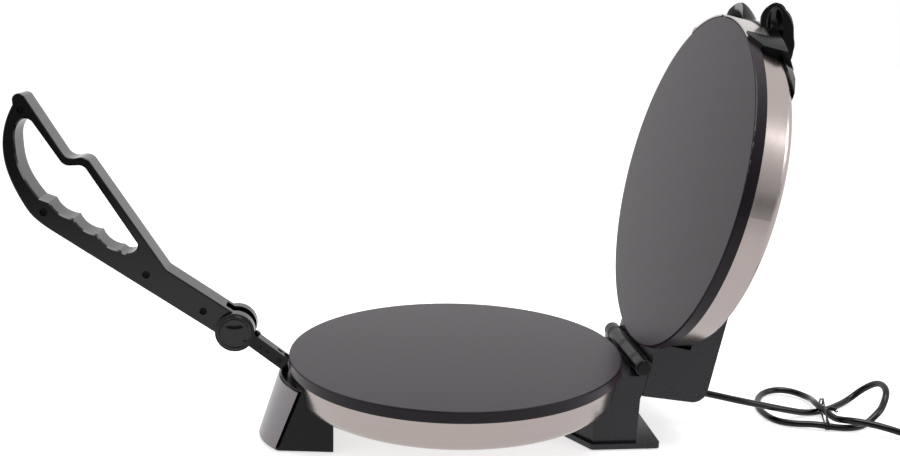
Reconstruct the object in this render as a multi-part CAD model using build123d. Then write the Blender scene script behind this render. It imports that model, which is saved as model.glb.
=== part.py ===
from build123d import *
import math
import os

# Electric roti maker: two hinged round hot plates and a press lever at the front.
# Millimetres. Machine frame: plates' common axis on Z, lower cooking face at z = 0, hinge at +Y,
# press lever at -Y. seat() moves the finished pieces so that the feet stand on z = 0.

# ---------------------------------------------------------------- driving dimensions
FLOOR_DROP = 76.5            # lower cooking face above the surface that the machine stands on
PLATE_AXIS_Y = 51.0          # plates' axis from the middle of the machine's length
SEAT_GAP = 0.1               # between pieces that rest on each other
RUN_GAP = 0.3                # between pieces that move past each other
PIN_GAP = 0.05               # radial, between a pin and its bore

PLATE_RADIUS = 150.0
FRONT_Y = -PLATE_RADIUS      # plates' foremost point
REAR_Y = PLATE_RADIUS        # plates' rearmost point
PLATE_THICKNESS = 6.0
PLATE_SKIRT = 9.3            # depth of the plate's turned-down edge
PLATE_SKIRT_WALL = 3.0
PLATE_EDGE_ROUND = 1.2
PLATE_GAP = 0.6              # between the cooking faces when the lid is down
BOSS_RADIUS = 6.0
BOSS_CIRCLE = PLATE_RADIUS - 30.0
GASKET_THICKNESS = 1.0
PAN_RADIUS = PLATE_RADIUS - 2.5  # at the mouth
PAN_TAPER = 4.5              # radius lost from mouth to bottom
PAN_DEPTH = 37.2             # cooking face to the outside of the pan's bottom
PAN_WALL = 1.5
PAN_CORNER = 9.0
PAN_FLANGE = 8.0             # width of the inward flange under the plate
VENT_LENGTH = 26.0
VENT_WIDTH = 4.0
VENT_CIRCLE = 62.0
VENT_COUNT = 8

REFLECTOR_RADIUS = 110.0
REFLECTOR_HEIGHT = 12.0
REFLECTOR_SHEET = 0.8
ELEMENT_RADIUS = 90.0        # middle of the tubular heater's ring
ELEMENT_TUBE = 3.5
ELEMENT_GAP = 35.0           # degrees left open between its two ends
ELEMENT_TAIL = 9.0
CLAMP_SHEET = 1.5
CLAMP_LENGTH = 12.0
CLAMP_EAR = 7.0
THERMOSTAT_RADIUS = 13.0
THERMOSTAT_HEIGHT = 9.0
THERMOSTAT_Y = 30.0
FUSE_RADIUS = 2.4
FUSE_LENGTH = 16.0
FUSE_X = 36.0
PLATE_SCREW_HEAD = 3.6
PLATE_SCREW_SHANK = 1.9
PLATE_SCREW_LENGTH = 14.0
FOOT_SCREW_SHANK = 1.9
LEAD_HOLE = 6.0              # where the lead enters the pan from the rear foot
LEAD_HOLE_Y = REAR_Y - 28.0
HINGE_Y = REAR_Y + 10.0      # hinge axis behind the plates' axis
HINGE_Z = -1.0
OPEN_ANGLE = 102.5           # lid from shut to its rest against the rear post
BARREL_RADIUS = 7.4
BARREL_HALF = 56.0
BARREL_FAR_END = -40.0       # far base knuckle ends here
BARREL_NEAR_END = 38.0       # near lid knuckle starts here
KNUCKLE_GAP = 0.35
HINGE_PIN_RADIUS = 3.0
HINGE_CAP_THICKNESS = 1.6

POST_HALF = 55.0             # half width of the rear post and of the lid's hinge block
POST_REAR_Y = REAR_Y + 8.5
POST_TOP_Z = -8.6
POST_WALL = 3.0
FLANGE_HALF = 59.0
FLANGE_FRONT_Y = REAR_Y - 34.0
FLANGE_NOSE_Y = REAR_Y - 50.0
FLANGE_NOSE_HALF = 28.0
FLANGE_REAR_Y = REAR_Y + 28.0
FLANGE_THICKNESS = 5.0
PAD_THICKNESS = 2.5          # rubber feet
PAD_SEAT = 1.0               # how far a rubber foot stands in its recess
STOP_GAP = 0.4               # between the open lid's block and the post

FOOT_TOP_Z = -16.6
FOOT_TOP_HALF = 56.0
FOOT_TOP_EDGE_Y = FRONT_Y + 13.5
FOOT_TOP_APEX_Y = FRONT_Y - 7.0
FOOT_LOW_HALF = 44.5
FOOT_LOW_EDGE_Y = FRONT_Y - 8.5
FOOT_LOW_APEX_Y = FRONT_Y - 26.5
FOOT_BACK_Y = FRONT_Y + 39.5
FOOT_BACK_HALF = 50.5
FOOT_WALL = 3.0
COVER_SHEET = 1.6
COVER_MARGIN = 3.2           # black edge left showing beside the cover

PIVOT_Y = FRONT_Y - 8.5      # press lever's pivot on the front foot
PIVOT_Z = -5.8
PIVOT_PIN_RADIUS = 2.5
ARM_LENGTH = 47.6            # lever pivot to elbow
ARM_REST = 51.5              # lever's lean forward from upright when it is thrown back
ARM_SWING = 36.0
ARM_WIDTH = 11.5
ARM_HALF = 6.5               # half thickness
ARM_CORE_HALF = 2.2
ARM_HEEL = 7.0               # arm's end beyond the pivot
ARM_HEEL_ROUND = 2.0
TONGUE_RADIUS = 5.6
EYE_RADIUS = 12.0
RIVET_RADIUS = 1.5
RIVET_PLACES = (13.0, 21.0)
ELBOW_BOLT_RADIUS = 4.0

CHEEK_RADIUS = 17.1
CHEEK_OUTER = 17.0           # half width over the elbow's cheeks
CHEEK_GAP = 0.4              # each side of the lever's eye
CAP_RADIUS = 13.2
CAP_RISE = 1.5
HANDLE_HALF = 13.0
HANDLE_CORE_HALF = 3.0
HANDLE_FOLD = 70.0
HANDLE_SCREW_RADIUS = 3.2
HANDLE_SCREW_DEPTH = 1.5
HANDLE_EDGE = 1.2

BUTTON_RADIUS = 2.6
BUTTON_HEIGHT = 2.8
BUTTON_TRAVEL = 1.6
BUTTON_PLACE = 18.0          # from the elbow towards the lever's pivot

WEAR_SHEET = 1.4
WEAR_HEIGHT = 24.0
WEAR_ANGLE = 27.0            # each side of the front
WEAR_NOTCH = 4.0
BRACKET_WALL = 3.0
BRACKET_TOP = 7.0            # thickness over the dome
BRACKET_ANGLE = 32.0
BRACKET_WING_ANGLE = 47.0
BRACKET_DEPTH = 30.0         # how far it reaches in over the dome
BRACKET_SCREW_ANGLE = 8.5
BRACKET_SCREW_SHANK = 1.6
EAR_INNER = 30.0
EAR_THICKNESS = 11.0
EAR_SHRINK = 0.62            # inner side's size against the outer side's
EAR_SCOOP_HALF = 16.0        # half length of the hollow in the ear's outer side
EAR_SCOOP_WIDTH = 15.0
EAR_SCOOP_DEPTH = 5.0
EAR_SCOOP_LEAN = 18.4
EAR_SCOOP_MIDDLE = (FRONT_Y, 32.5)
EAR_FOCUS = (20.0, 38.0)       # behind the plates' front, and z
BLOCK_BOTTOM_Z = 5.0
BLOCK_TOP_Z = 62.0
BLOCK_REAR_Y = REAR_Y + 34.5
BLOCK_FRONT_Y = REAR_Y - 68.0
BLOCK_NOSE_Y = REAR_Y - 92.0
BLOCK_CORNER = 13.0
BLOCK_WALL = 3.0
LENS_RADIUS = 4.0
LENS_RISE = 1.5
LENS_SPACING = 26.0

CORD_DIAMETER = 6.4
CORD_EXIT_Z = -41.0
GLAND_RADIUS = 7.0
GLAND_LENGTH = 26.0
COIL_MEAN_RADIUS = 38.5
TIE_THICKNESS = 1.2
TIE_WIDTH = 3.0
PLUG_LENGTH = 34.0
PLUG_WIDTH = 22.0
PLUG_HEIGHT = 16.0
PLUG_NECK = 18.0
PLUG_NECK_RADIUS = 4.6

# ---------------------------------------------------------------- values that follow
PAN_MOUTH_Z = -(PLATE_SKIRT + GASKET_THICKNESS)
PAN_LOW_RADIUS = PAN_RADIUS - PAN_TAPER
HINGE = (0.0, HINGE_Y, HINGE_Z)
PIVOT = (0.0, PIVOT_Y, PIVOT_Z)
FLOOR_Z = -FLOOR_DROP
FOOT_BASE_Z = FLOOR_Z + PAD_THICKNESS - PAD_SEAT
FLANGE_TOP_Z = FOOT_BASE_Z + FLANGE_THICKNESS
CHEEK_INNER = ARM_HALF + CHEEK_GAP
CORD_FLOOR_Z = FLOOR_Z + CORD_DIAMETER / 2


def tilt(piece, angle, centre=(0.0, 0.0, 0.0)):
    """Turn a piece about the X direction through a point, front edge downwards for +angle."""
    return piece.rotate(Axis(centre, (1, 0, 0)), angle)


def open_lid(piece):
    return tilt(piece, -OPEN_ANGLE, HINGE)


def lean_arm(piece):
    """Upright lever with its pivot at the origin, moved to where it rests."""
    return Pos(*PIVOT) * tilt(piece, ARM_REST)


def at_elbow(piece):
    """Handle drawn about the elbow, moved to the resting lever's end."""
    reach = math.radians(ARM_REST)
    return Pos(0, PIVOT_Y - ARM_LENGTH * math.sin(reach), PIVOT_Z + ARM_LENGTH * math.cos(reach)) * piece


def flip(piece):
    """Lower assembly's piece turned into the lid's, in the shut position."""
    return Pos(0, 0, PLATE_GAP) * mirror(piece, about=Plane.XY)


def rod(radius, x0, x1, y=0.0, z=0.0):
    """Cylinder along X."""
    shape = Cylinder(radius, x1 - x0, rotation=(0, 90, 0))
    return Pos((x0 + x1) / 2, y, z) * shape


def disc(radius, z0, z1, x=0.0, y=0.0):
    return Pos(x, y, (z0 + z1) / 2) * Cylinder(radius, z1 - z0)


def block(x0, x1, y0, y1, z0, z1):
    return Pos((x0 + x1) / 2, (y0 + y1) / 2, (z0 + z1) / 2) * Box(x1 - x0, y1 - y0, z1 - z0)


def slab(points, x0, x1):
    """Side view outline, given as (y, z) points, made solid between two X planes."""
    outline = make_face(Polyline(*[(0, y, z) for y, z in points], close=True))
    return Pos(x0, 0, 0) * extrude(outline, amount=x1 - x0, dir=(1, 0, 0))


def sector(profile, start, end):
    """Turn an (r, z) profile about the plates' axis; angles in degrees from the front towards +X."""
    outline = make_face(Polyline(*[(r, 0, z) for r, z in profile], close=True))
    swept = revolve(outline, axis=Axis.Z, revolution_arc=end - start)
    return swept.rotate(Axis.Z, start - 90)


def bowl(mouth_radius, low_radius, mouth_z, low_z, corner):
    """Round tapered body with a rounded lower corner."""
    body = Pos(0, 0, (mouth_z + low_z) / 2) * Cone(low_radius, mouth_radius, mouth_z - low_z)
    return fillet(body.edges().sort_by(Axis.Z)[0], corner)


def pan_clearance(gap=SEAT_GAP):
    """Space that the pan and the plate's skirt take up, for pieces that wrap them."""
    body = bowl(PAN_RADIUS + gap, PAN_LOW_RADIUS + gap, PAN_MOUTH_Z, -PAN_DEPTH - gap, PAN_CORNER)
    return body + disc(PLATE_RADIUS + gap, PAN_MOUTH_Z - gap, PLATE_GAP)


# ---------------------------------------------------------------- heated half, used twice
def hot_plate():
    plate = disc(PLATE_RADIUS, -PLATE_SKIRT, 0)
    plate = fillet(plate.edges().sort_by(Axis.Z)[-1], PLATE_EDGE_ROUND)
    plate -= disc(PLATE_RADIUS - PLATE_SKIRT_WALL, -PLATE_SKIRT, -PLATE_THICKNESS)
    boss_low = -PAN_DEPTH + PAN_WALL + SEAT_GAP
    boss = disc(BOSS_RADIUS, boss_low, -PLATE_THICKNESS)
    boss -= disc(PLATE_SCREW_SHANK + PIN_GAP, boss_low, boss_low + PLATE_SCREW_LENGTH)
    for place in PolarLocations(BOSS_CIRCLE, 4, start_angle=45):
        plate += place * boss
    return plate


def plate_gasket():
    low = PAN_MOUTH_Z
    outer = disc(PLATE_RADIUS - PLATE_EDGE_ROUND, low, low + GASKET_THICKNESS)
    return outer - disc(PAN_RADIUS - PAN_FLANGE, low, low + GASKET_THICKNESS)


def pan(holes):
    low = -PAN_DEPTH
    shell = bowl(PAN_RADIUS, PAN_LOW_RADIUS, PAN_MOUTH_Z, low, PAN_CORNER)
    inside = bowl(PAN_RADIUS - PAN_WALL, PAN_LOW_RADIUS - PAN_WALL, PAN_MOUTH_Z - PAN_WALL,
                  low + PAN_WALL, PAN_CORNER - PAN_WALL)
    shell -= inside
    shell -= disc(PAN_RADIUS - PAN_FLANGE, PAN_MOUTH_Z - PAN_WALL, PAN_MOUTH_Z)
    for place in PolarLocations(BOSS_CIRCLE, 4, start_angle=45):
        shell -= place * disc(PLATE_SCREW_SHANK + PIN_GAP, low, low + PAN_WALL)
    slot = extrude(SlotOverall(VENT_LENGTH, VENT_WIDTH), amount=PAN_WALL)
    if holes:
        for place in PolarLocations(VENT_CIRCLE, VENT_COUNT):
            shell -= place * Pos(0, 0, low) * slot
    return shell


def reflector():
    """Shallow upside-down tray that stands on the pan's bottom."""
    low = -PAN_DEPTH + PAN_WALL + SEAT_GAP
    tray = disc(REFLECTOR_RADIUS, low, low + REFLECTOR_HEIGHT)
    inner = REFLECTOR_RADIUS - REFLECTOR_SHEET
    tray -= disc(inner, low, low + REFLECTOR_HEIGHT - REFLECTOR_SHEET)
    opening = extrude(SlotOverall(30, 12), amount=REFLECTOR_HEIGHT)
    return tray - Pos(0, ELEMENT_RADIUS, low) * opening


def heating_element():
    """Tubular ring under the plate, its two ends turned away from the plate."""
    z = -PLATE_THICKNESS - ELEMENT_TUBE - SEAT_GAP
    gap = ELEMENT_GAP
    section = Pos(ELEMENT_RADIUS, 0, z) * (Rot(90, 0, 0) * Circle(ELEMENT_TUBE))
    ring = revolve(section, axis=Axis.Z, revolution_arc=360 - gap)
    ring = ring.rotate(Axis.Z, 90 + gap / 2)
    for side in (-1, 1):
        turn = math.radians(90 + side * gap / 2)
        x = ELEMENT_RADIUS * math.cos(turn)
        y = ELEMENT_RADIUS * math.sin(turn)
        ring += disc(ELEMENT_TUBE, z - ELEMENT_TAIL, z, x, y)
        ring += Pos(x, y, z) * Sphere(ELEMENT_TUBE)
        ring += disc(1.2, z - ELEMENT_TAIL - 5, z - ELEMENT_TAIL, x, y)
    return ring


def element_clamp():
    """Bridge strap over the heater's tube, held under the plate by its two ears."""
    z = -PLATE_THICKNESS - SEAT_GAP
    half = CLAMP_LENGTH / 2
    tube = ELEMENT_TUBE + SEAT_GAP + half ** 2 / (2 * ELEMENT_RADIUS)
    strap = Rot(90, 0, 0) * Cylinder(tube + CLAMP_SHEET, CLAMP_LENGTH)
    strap = Pos(0, 0, z - tube) * strap
    ears = block(-tube - CLAMP_EAR, tube + CLAMP_EAR, -half, half, z - CLAMP_SHEET, z)
    strap = (strap & block(-20, 20, -half, half, z - 20, z)) + ears
    strap += block(-tube - CLAMP_SHEET, tube + CLAMP_SHEET, -half, half, z - tube, z)
    strap -= Pos(0, 0, z - tube) * (Rot(90, 0, 0) * Cylinder(tube, CLAMP_LENGTH))
    strap -= block(-tube, tube, -half, half, z - tube, z)
    return strap


def element_clamps():
    strap = element_clamp()
    return [place * strap for place in PolarLocations(ELEMENT_RADIUS, 4, start_angle=30)]


def thermostat():
    z = -PLATE_THICKNESS - SEAT_GAP
    body = disc(THERMOSTAT_RADIUS, z - THERMOSTAT_HEIGHT, z, 0, THERMOSTAT_Y)
    reach = THERMOSTAT_RADIUS + 8
    body += block(-reach, reach, THERMOSTAT_Y - 5, THERMOSTAT_Y + 5, z - CLAMP_SHEET, z)
    for side in (-1, 1):
        x = side * THERMOSTAT_RADIUS * 0.5
        top = z - THERMOSTAT_HEIGHT
        body += block(x - 0.4, x + 0.4, THERMOSTAT_Y - 3, THERMOSTAT_Y + 3, top - 4, top)
    return body


def thermal_fuse():
    z = -PLATE_THICKNESS - SEAT_GAP - FUSE_RADIUS
    return Pos(FUSE_X, 0, z) * (Rot(90, 0, 0) * Cylinder(FUSE_RADIUS, FUSE_LENGTH))


def plate_screws():
    """Screws through the pan's bottom into the plate's bosses."""
    low = -PAN_DEPTH
    screw = disc(PLATE_SCREW_SHANK, low, low + PLATE_SCREW_LENGTH - 1)
    screw += disc(PLATE_SCREW_HEAD, low - 2.2, low)
    return [place * screw for place in PolarLocations(BOSS_CIRCLE, 4, start_angle=45)]


# ---------------------------------------------------------------- rear foot, post and hinge
def foot_plan(half_rear, front_y, nose_y, nose_half, rear_y, z0, z1):
    outline = Polyline((-half_rear, rear_y), (half_rear, rear_y), (half_rear, front_y),
                       (nose_half, nose_y), (-nose_half, nose_y), (-half_rear, front_y), close=True)
    return Pos(0, 0, z0) * extrude(make_face(outline), amount=z1 - z0)


def open_face_line(depth, gap):
    """Where the open lid's block faces the post, at a height below the hinge axis."""
    lean = math.radians(OPEN_ANGLE - 90)
    standoff = BLOCK_BOTTOM_Z - HINGE_Z - gap
    return HINGE_Y + (standoff - depth * math.sin(lean)) / math.cos(lean)


def rear_post():
    chamfer_top = HINGE_Z - POST_TOP_Z
    chamfer_low = chamfer_top + 15.0
    side = [(FLANGE_NOSE_Y, FLANGE_TOP_Z), (FLANGE_NOSE_Y, PAN_MOUTH_Z), (REAR_Y - 13, POST_TOP_Z),
            (open_face_line(chamfer_top, STOP_GAP), POST_TOP_Z),
            (open_face_line(chamfer_low, STOP_GAP), HINGE_Z - chamfer_low),
            (POST_REAR_Y, HINGE_Z - chamfer_low - 6), (POST_REAR_Y - 1.5, FLANGE_TOP_Z)]
    post = slab(side, -POST_HALF, POST_HALF)
    plan = foot_plan(POST_HALF, FLANGE_FRONT_Y + 2, FLANGE_NOSE_Y, FLANGE_NOSE_HALF - 2,
                     FLANGE_REAR_Y, FLANGE_TOP_Z, 0)
    post = fillet((post & plan).edges().filter_by(Axis.Z), 2)
    flange = foot_plan(FLANGE_HALF, FLANGE_FRONT_Y, FLANGE_NOSE_Y - 2, FLANGE_NOSE_HALF,
                       FLANGE_REAR_Y, FOOT_BASE_Z, FLANGE_TOP_Z)
    flange = fillet(flange.edges().filter_by(Axis.Z), 4)
    hollow_top = -PAN_DEPTH - POST_WALL - SEAT_GAP
    hollow = foot_plan(POST_HALF - POST_WALL, FLANGE_FRONT_Y + 4, FLANGE_NOSE_Y + POST_WALL,
                       FLANGE_NOSE_HALF - POST_WALL, POST_REAR_Y - 2 * POST_WALL,
                       FOOT_BASE_Z, hollow_top)
    return post + flange - hollow


def barrel_spans():
    """X spans of the knuckles, with the half that carries each."""
    return {"base_far": (-BARREL_HALF, BARREL_FAR_END - KNUCKLE_GAP),
            "lid_far": (BARREL_FAR_END, -KNUCKLE_GAP),
            "base_near": (0.0, BARREL_NEAR_END - KNUCKLE_GAP),
            "lid_near": (BARREL_NEAR_END, BARREL_HALF)}


def carry_knuckles(body, half, y0, z0, y1, z1):
    """Give a body its own half's knuckles, each on a root block, and room for the other half's."""
    trough = BARREL_RADIUS + RUN_GAP
    spans = barrel_spans()
    for name in spans:
        if not name.startswith(half):
            body -= rod(trough, spans[name][0] - KNUCKLE_GAP, spans[name][1] + KNUCKLE_GAP, HINGE_Y, HINGE_Z)
    for name in spans:
        if name.startswith(half):
            x0, x1 = spans[name]
            body += rod(BARREL_RADIUS, x0, x1, HINGE_Y, HINGE_Z)
            body += block(max(x0, -POST_HALF), min(x1, POST_HALF), y0, y1, z0, z1)
    return body


def rear_foot():
    foot = rear_post() - pan_clearance()
    foot = carry_knuckles(foot, "base", HINGE_Y - 7, POST_TOP_Z - 3, HINGE_Y + 2, HINGE_Z - 3)
    foot -= rod(HINGE_PIN_RADIUS + PIN_GAP, -BARREL_HALF, BARREL_HALF, HINGE_Y, HINGE_Z)
    bore = Rot(90, 0, 0) * Cylinder(GLAND_RADIUS - 1.5 + PIN_GAP, 30)
    foot -= Pos(0, POST_REAR_Y, CORD_EXIT_Z) * bore
    foot -= disc(LEAD_HOLE + 2, -PAN_DEPTH - 2 * POST_WALL, -PAN_DEPTH, 0, LEAD_HOLE_Y)
    foot -= foot_screw_holes()
    for x, y in rear_pad_places():
        foot -= disc(8 + SEAT_GAP, FOOT_BASE_Z, FOOT_BASE_Z + PAD_SEAT, x, y)
    return foot


def rear_pad_places():
    return [(side * (FLANGE_HALF - 11), FLANGE_REAR_Y - 11) for side in (-1, 1)]


def front_pad_places():
    return [(side * (FOOT_LOW_HALF - 12), FOOT_LOW_EDGE_Y + 14) for side in (-1, 1)]


def rubber_pads(places):
    return [disc(8, FLOOR_Z, FOOT_BASE_Z + PAD_SEAT, x, y) for x, y in places]


def hinge_pin():
    return rod(HINGE_PIN_RADIUS, -BARREL_HALF, BARREL_HALF, HINGE_Y, HINGE_Z)


def hinge_cap(side):
    """Domed button that closes one end of the barrel."""
    x0 = side * (BARREL_HALF + SEAT_GAP)
    x1 = side * (BARREL_HALF + SEAT_GAP + HINGE_CAP_THICKNESS)
    cap = rod(BARREL_RADIUS - 1.2, min(x0, x1), max(x0, x1), HINGE_Y, HINGE_Z)
    return fillet(cap.edges().sort_by(Axis.X)[-1 if side > 0 else 0], 0.9)


# ---------------------------------------------------------------- front foot and its cover
def arc_plan(half, edge_y, apex_y, back_half, back_y, z):
    """Foot's outline at one height: bowed front, straight sides narrowing to the back."""
    front = ThreePointArc((-half, edge_y, z), (0, apex_y, z), (half, edge_y, z))
    rest = Polyline((half, edge_y, z), (back_half, back_y, z), (-back_half, back_y, z),
                    (-half, edge_y, z))
    return make_face([front, rest])


def foot_body(shrink=0.0, low=FOOT_BASE_Z, high=FOOT_TOP_Z):
    """Foot between its base and its top, drawn in by a wall all round."""
    slope = (FOOT_TOP_HALF - FOOT_LOW_HALF) / (FOOT_TOP_Z - FOOT_BASE_Z)
    top = arc_plan(FOOT_TOP_HALF - shrink, FOOT_TOP_EDGE_Y + shrink, FOOT_TOP_APEX_Y + shrink,
                   FOOT_TOP_HALF + 4 - shrink, FOOT_BACK_Y - shrink, high)
    drop = slope * (low - FOOT_BASE_Z)
    base = arc_plan(FOOT_LOW_HALF + drop - shrink, FOOT_LOW_EDGE_Y + shrink,
                    FOOT_LOW_APEX_Y + shrink, FOOT_BACK_HALF - shrink, FOOT_BACK_Y - shrink, low)
    return loft([base, top])


def cover_shell():
    """Skin between the foot's bowed front and the same front drawn in by the sheet."""
    outer = foot_body(-SEAT_GAP - COVER_SHEET)
    inner = foot_body(-SEAT_GAP)
    band = FOOT_TOP_EDGE_Y - COVER_MARGIN
    span = FOOT_TOP_Z - FOOT_BASE_Z
    lean = (FOOT_LOW_EDGE_Y - FOOT_TOP_EDGE_Y) / span
    top = FOOT_TOP_Z - 1.5
    low = FOOT_BASE_Z + 1.5
    front = slab([(band + lean * 1.5, top), (FRONT_Y - 50, top), (FRONT_Y - 50, low), (band + lean * (span - 1.5), low)],
                 -80, 80)
    return (outer - inner) & front


def front_foot_cover():
    return cover_shell()


def tongue():
    """Lug that carries the lever, with a nose that stops it when it is thrown back."""
    half = ARM_CORE_HALF - RUN_GAP
    lug = rod(TONGUE_RADIUS, -half, half, PIVOT_Y, PIVOT_Z)
    root = [(PIVOT_Y - 3, PIVOT_Z - 4), (PIVOT_Y + TONGUE_RADIUS, PIVOT_Z),
            (PIVOT_Y + TONGUE_RADIUS + 3, FOOT_TOP_Z - 2), (FOOT_TOP_APEX_Y + 2, FOOT_TOP_Z - 2)]
    lug += slab(root, -half, half)
    return lug


def front_foot():
    foot = foot_body()
    hollow_top = -PAN_DEPTH - FOOT_WALL - SEAT_GAP
    foot -= foot_body(FOOT_WALL) & block(-80, 80, -200, 0, FOOT_BASE_Z, hollow_top)
    foot -= pan_clearance()
    foot -= foot_screw_holes()
    foot += tongue()
    foot -= rod(PIVOT_PIN_RADIUS + PIN_GAP, -20, 20, PIVOT_Y, PIVOT_Z)
    for x, y in front_pad_places():
        foot += disc(10, FOOT_BASE_Z, hollow_top + 1, x, y)
        foot -= disc(8 + SEAT_GAP, FOOT_BASE_Z, FOOT_BASE_Z + PAD_SEAT, x, y)
    return foot


def foot_screw_places():
    return [(x, side * (PLATE_RADIUS - 28)) for side in (-1, 1) for x in (-34, 34)]


def foot_screws():
    """Screws up through the feet's roofs into the pan's bottom."""
    low = -PAN_DEPTH - FOOT_WALL - SEAT_GAP
    shank = FOOT_SCREW_SHANK
    return [disc(shank, low, -PAN_DEPTH + PAN_WALL, x, y) + disc(2 * shank, low - 2, low, x, y)
            for x, y in foot_screw_places()]


def foot_screw_holes():
    radius = FOOT_SCREW_SHANK + PIN_GAP
    return [disc(radius, -PAN_DEPTH - 2 * FOOT_WALL, -PAN_DEPTH + PAN_WALL, x, y)
            for x, y in foot_screw_places()]


def lower_pan():
    """Pan with its holes for the feet's screws and for the lead."""
    shell = pan(True) - foot_screw_holes()
    return shell - disc(LEAD_HOLE, -PAN_DEPTH, -PAN_DEPTH + PAN_WALL, 0, LEAD_HOLE_Y)


# ---------------------------------------------------------------- press lever
def arm_side(x0, x1, low):
    """Straight bar with a square heel and a round eye."""
    half = ARM_WIDTH / 2
    bar = block(x0, x1, -half, half, low, ARM_LENGTH)
    if low < 0:
        bar = fillet(bar.edges().filter_by(Axis.X).group_by(Axis.Z)[0], ARM_HEEL_ROUND)
    return bar + rod(EYE_RADIUS, x0, x1, 0, ARM_LENGTH)


def arm_bores(piece):
    reach = HANDLE_HALF
    piece -= rod(ELBOW_BOLT_RADIUS + PIN_GAP, -reach, reach, 0, ARM_LENGTH)
    for place in RIVET_PLACES:
        piece -= rod(RIVET_RADIUS + PIN_GAP, -reach, reach, 0, place)
    return piece


def button_well(gap):
    """Round well in the lever's upper edge for the release button."""
    top = ARM_WIDTH / 2
    depth = BUTTON_TRAVEL + BUTTON_HEIGHT + 0.6
    z = ARM_LENGTH - BUTTON_PLACE
    hole = Rot(90, 0, 0) * Cylinder(BUTTON_RADIUS + gap, depth)
    return Pos(0, top - depth / 2, z) * hole


def arm_cover(side):
    inner = ARM_CORE_HALF + PIN_GAP
    x0, x1 = (inner, ARM_HALF) if side > 0 else (-ARM_HALF, -inner)
    cover = arm_bores(arm_side(x0, x1, -ARM_HEEL))
    cover -= rod(PIVOT_PIN_RADIUS + PIN_GAP, -10, 10)
    return cover - button_well(PIN_GAP)


def arm_core():
    core = arm_bores(arm_side(-ARM_CORE_HALF, ARM_CORE_HALF, TONGUE_RADIUS + 2 * RUN_GAP))
    core -= rod(TONGUE_RADIUS + RUN_GAP, -ARM_CORE_HALF, ARM_CORE_HALF)
    return core - button_well(PIN_GAP)


def arm_rivets():
    return [rod(RIVET_RADIUS, -ARM_HALF + 0.2, ARM_HALF - 0.2, 0, place) for place in RIVET_PLACES]


def pivot_pin():
    return rod(PIVOT_PIN_RADIUS, -ARM_HALF + 0.3, ARM_HALF - 0.3, PIVOT_Y, PIVOT_Z)


def elbow_bolt():
    return rod(ELBOW_BOLT_RADIUS, -CHEEK_OUTER + 1, CHEEK_OUTER - 1, 0, ARM_LENGTH)


def release_button():
    top = ARM_WIDTH / 2
    z = ARM_LENGTH - BUTTON_PLACE
    button = Rot(90, 0, 0) * Cylinder(BUTTON_RADIUS, BUTTON_HEIGHT + BUTTON_TRAVEL)
    button = Pos(0, top + BUTTON_HEIGHT / 2 - BUTTON_TRAVEL / 2, z) * button
    return fillet(button.edges().sort_by(Axis.Y)[-1], 0.8)


def button_spring():
    """Small coil under the button, drawn as its outer sleeve."""
    top = ARM_WIDTH / 2
    z = ARM_LENGTH - BUTTON_PLACE
    low = top - BUTTON_TRAVEL - BUTTON_HEIGHT - 0.5
    high = top - BUTTON_TRAVEL - 0.1
    ring = Cylinder(BUTTON_RADIUS - 0.5, high - low) - Cylinder(BUTTON_RADIUS - 1.2, high - low)
    return Pos(0, (low + high) / 2, z) * (Rot(90, 0, 0) * ring)


# ---------------------------------------------------------------- folding handle, about the elbow
def handle_outline():
    """Side view of the handle, (y, z) about the elbow: neck, knuckle guard, nose and round back."""
    top = FilletPolyline((0, -1.5, 17.0), (0, -57, 55.8), (0, -119, 154), (0, -134.5, 150.6),
                         (0, -165.5, 203), radius=(5, 9, 10))
    nose = ThreePointArc((0, -165.5, 203), (0, -171, 205.4), (0, -175.6, 200.5))
    notch = Line((0, -175.6, 200.5), (0, -175.4, 196))
    back = Spline((0, -175.4, 196), (0, -184.6, 171), (0, -183.6, 143), (0, -171.4, 112.5),
                  (0, -148, 88.8), tangents=[(0, -0.6, -1), (0, 1, -0.69)])
    under = Polyline((0, -148, 88.8), (0, -17.7, -0.8), (0, 0, -4), (0, -1.5, 17.0))
    return make_face([top, nose, notch, back, under])


def scallop(start, end, depth):
    """Finger rest between two cusps, hollowed away from the opening."""
    (y0, z0), (y1, z1) = start, end
    length = math.hypot(y1 - y0, z1 - z0)
    middle = (0, (y0 + y1) / 2 - depth * (z0 - z1) / length, (z0 + z1) / 2 - depth * (y1 - y0) / length)
    return ThreePointArc((0, y0, z0), middle, (0, y1, z1))


def handle_opening():
    """Hand hole: three finger rests below, a straight bar above."""
    cusps = [(-158.7, 118.3), (-150.4, 115.1), (-131.4, 100.9), (-112.8, 87.2), (-95.0, 73.4)]
    rests = [Line((0, *cusps[0]), (0, *cusps[1]))]
    rests += [scallop(a, b, 3.4) for a, b in zip(cusps[1:-1], cusps[2:])]
    end = Spline((0, -95.0, 73.4), (0, -85.0, 71.2), (0, -80.6, 75.2), (0, -82.0, 81.5))
    bar = FilletPolyline((0, -82.0, 81.5), (0, -121.5, 146.2), (0, -137.5, 145.6), (0, -160.9, 182.4),
                         radius=(7, 8))
    crown = Spline((0, -160.9, 182.4), (0, -167.5, 184.6), (0, -173.4, 178.2), (0, -175.3, 165),
                   (0, -173.4, 146.5), (0, -166.7, 130.2), (0, -158.7, 118.3))
    return make_face(rests + [end, bar, crown])


def handle_layer(x0, x1):
    """One layer of the sandwich: outline less the hand hole."""
    layer = extrude(handle_outline(), amount=x1 - x0, dir=(1, 0, 0))
    layer -= extrude(handle_opening(), amount=x1 - x0, dir=(1, 0, 0))
    return Pos(x0, 0, 0) * layer


def handle_screw_places():
    return [(-168.8, 192.2), (-155.9, 106.4), (-74.0, 51.6), (-27.0, 18.6)]


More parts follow.
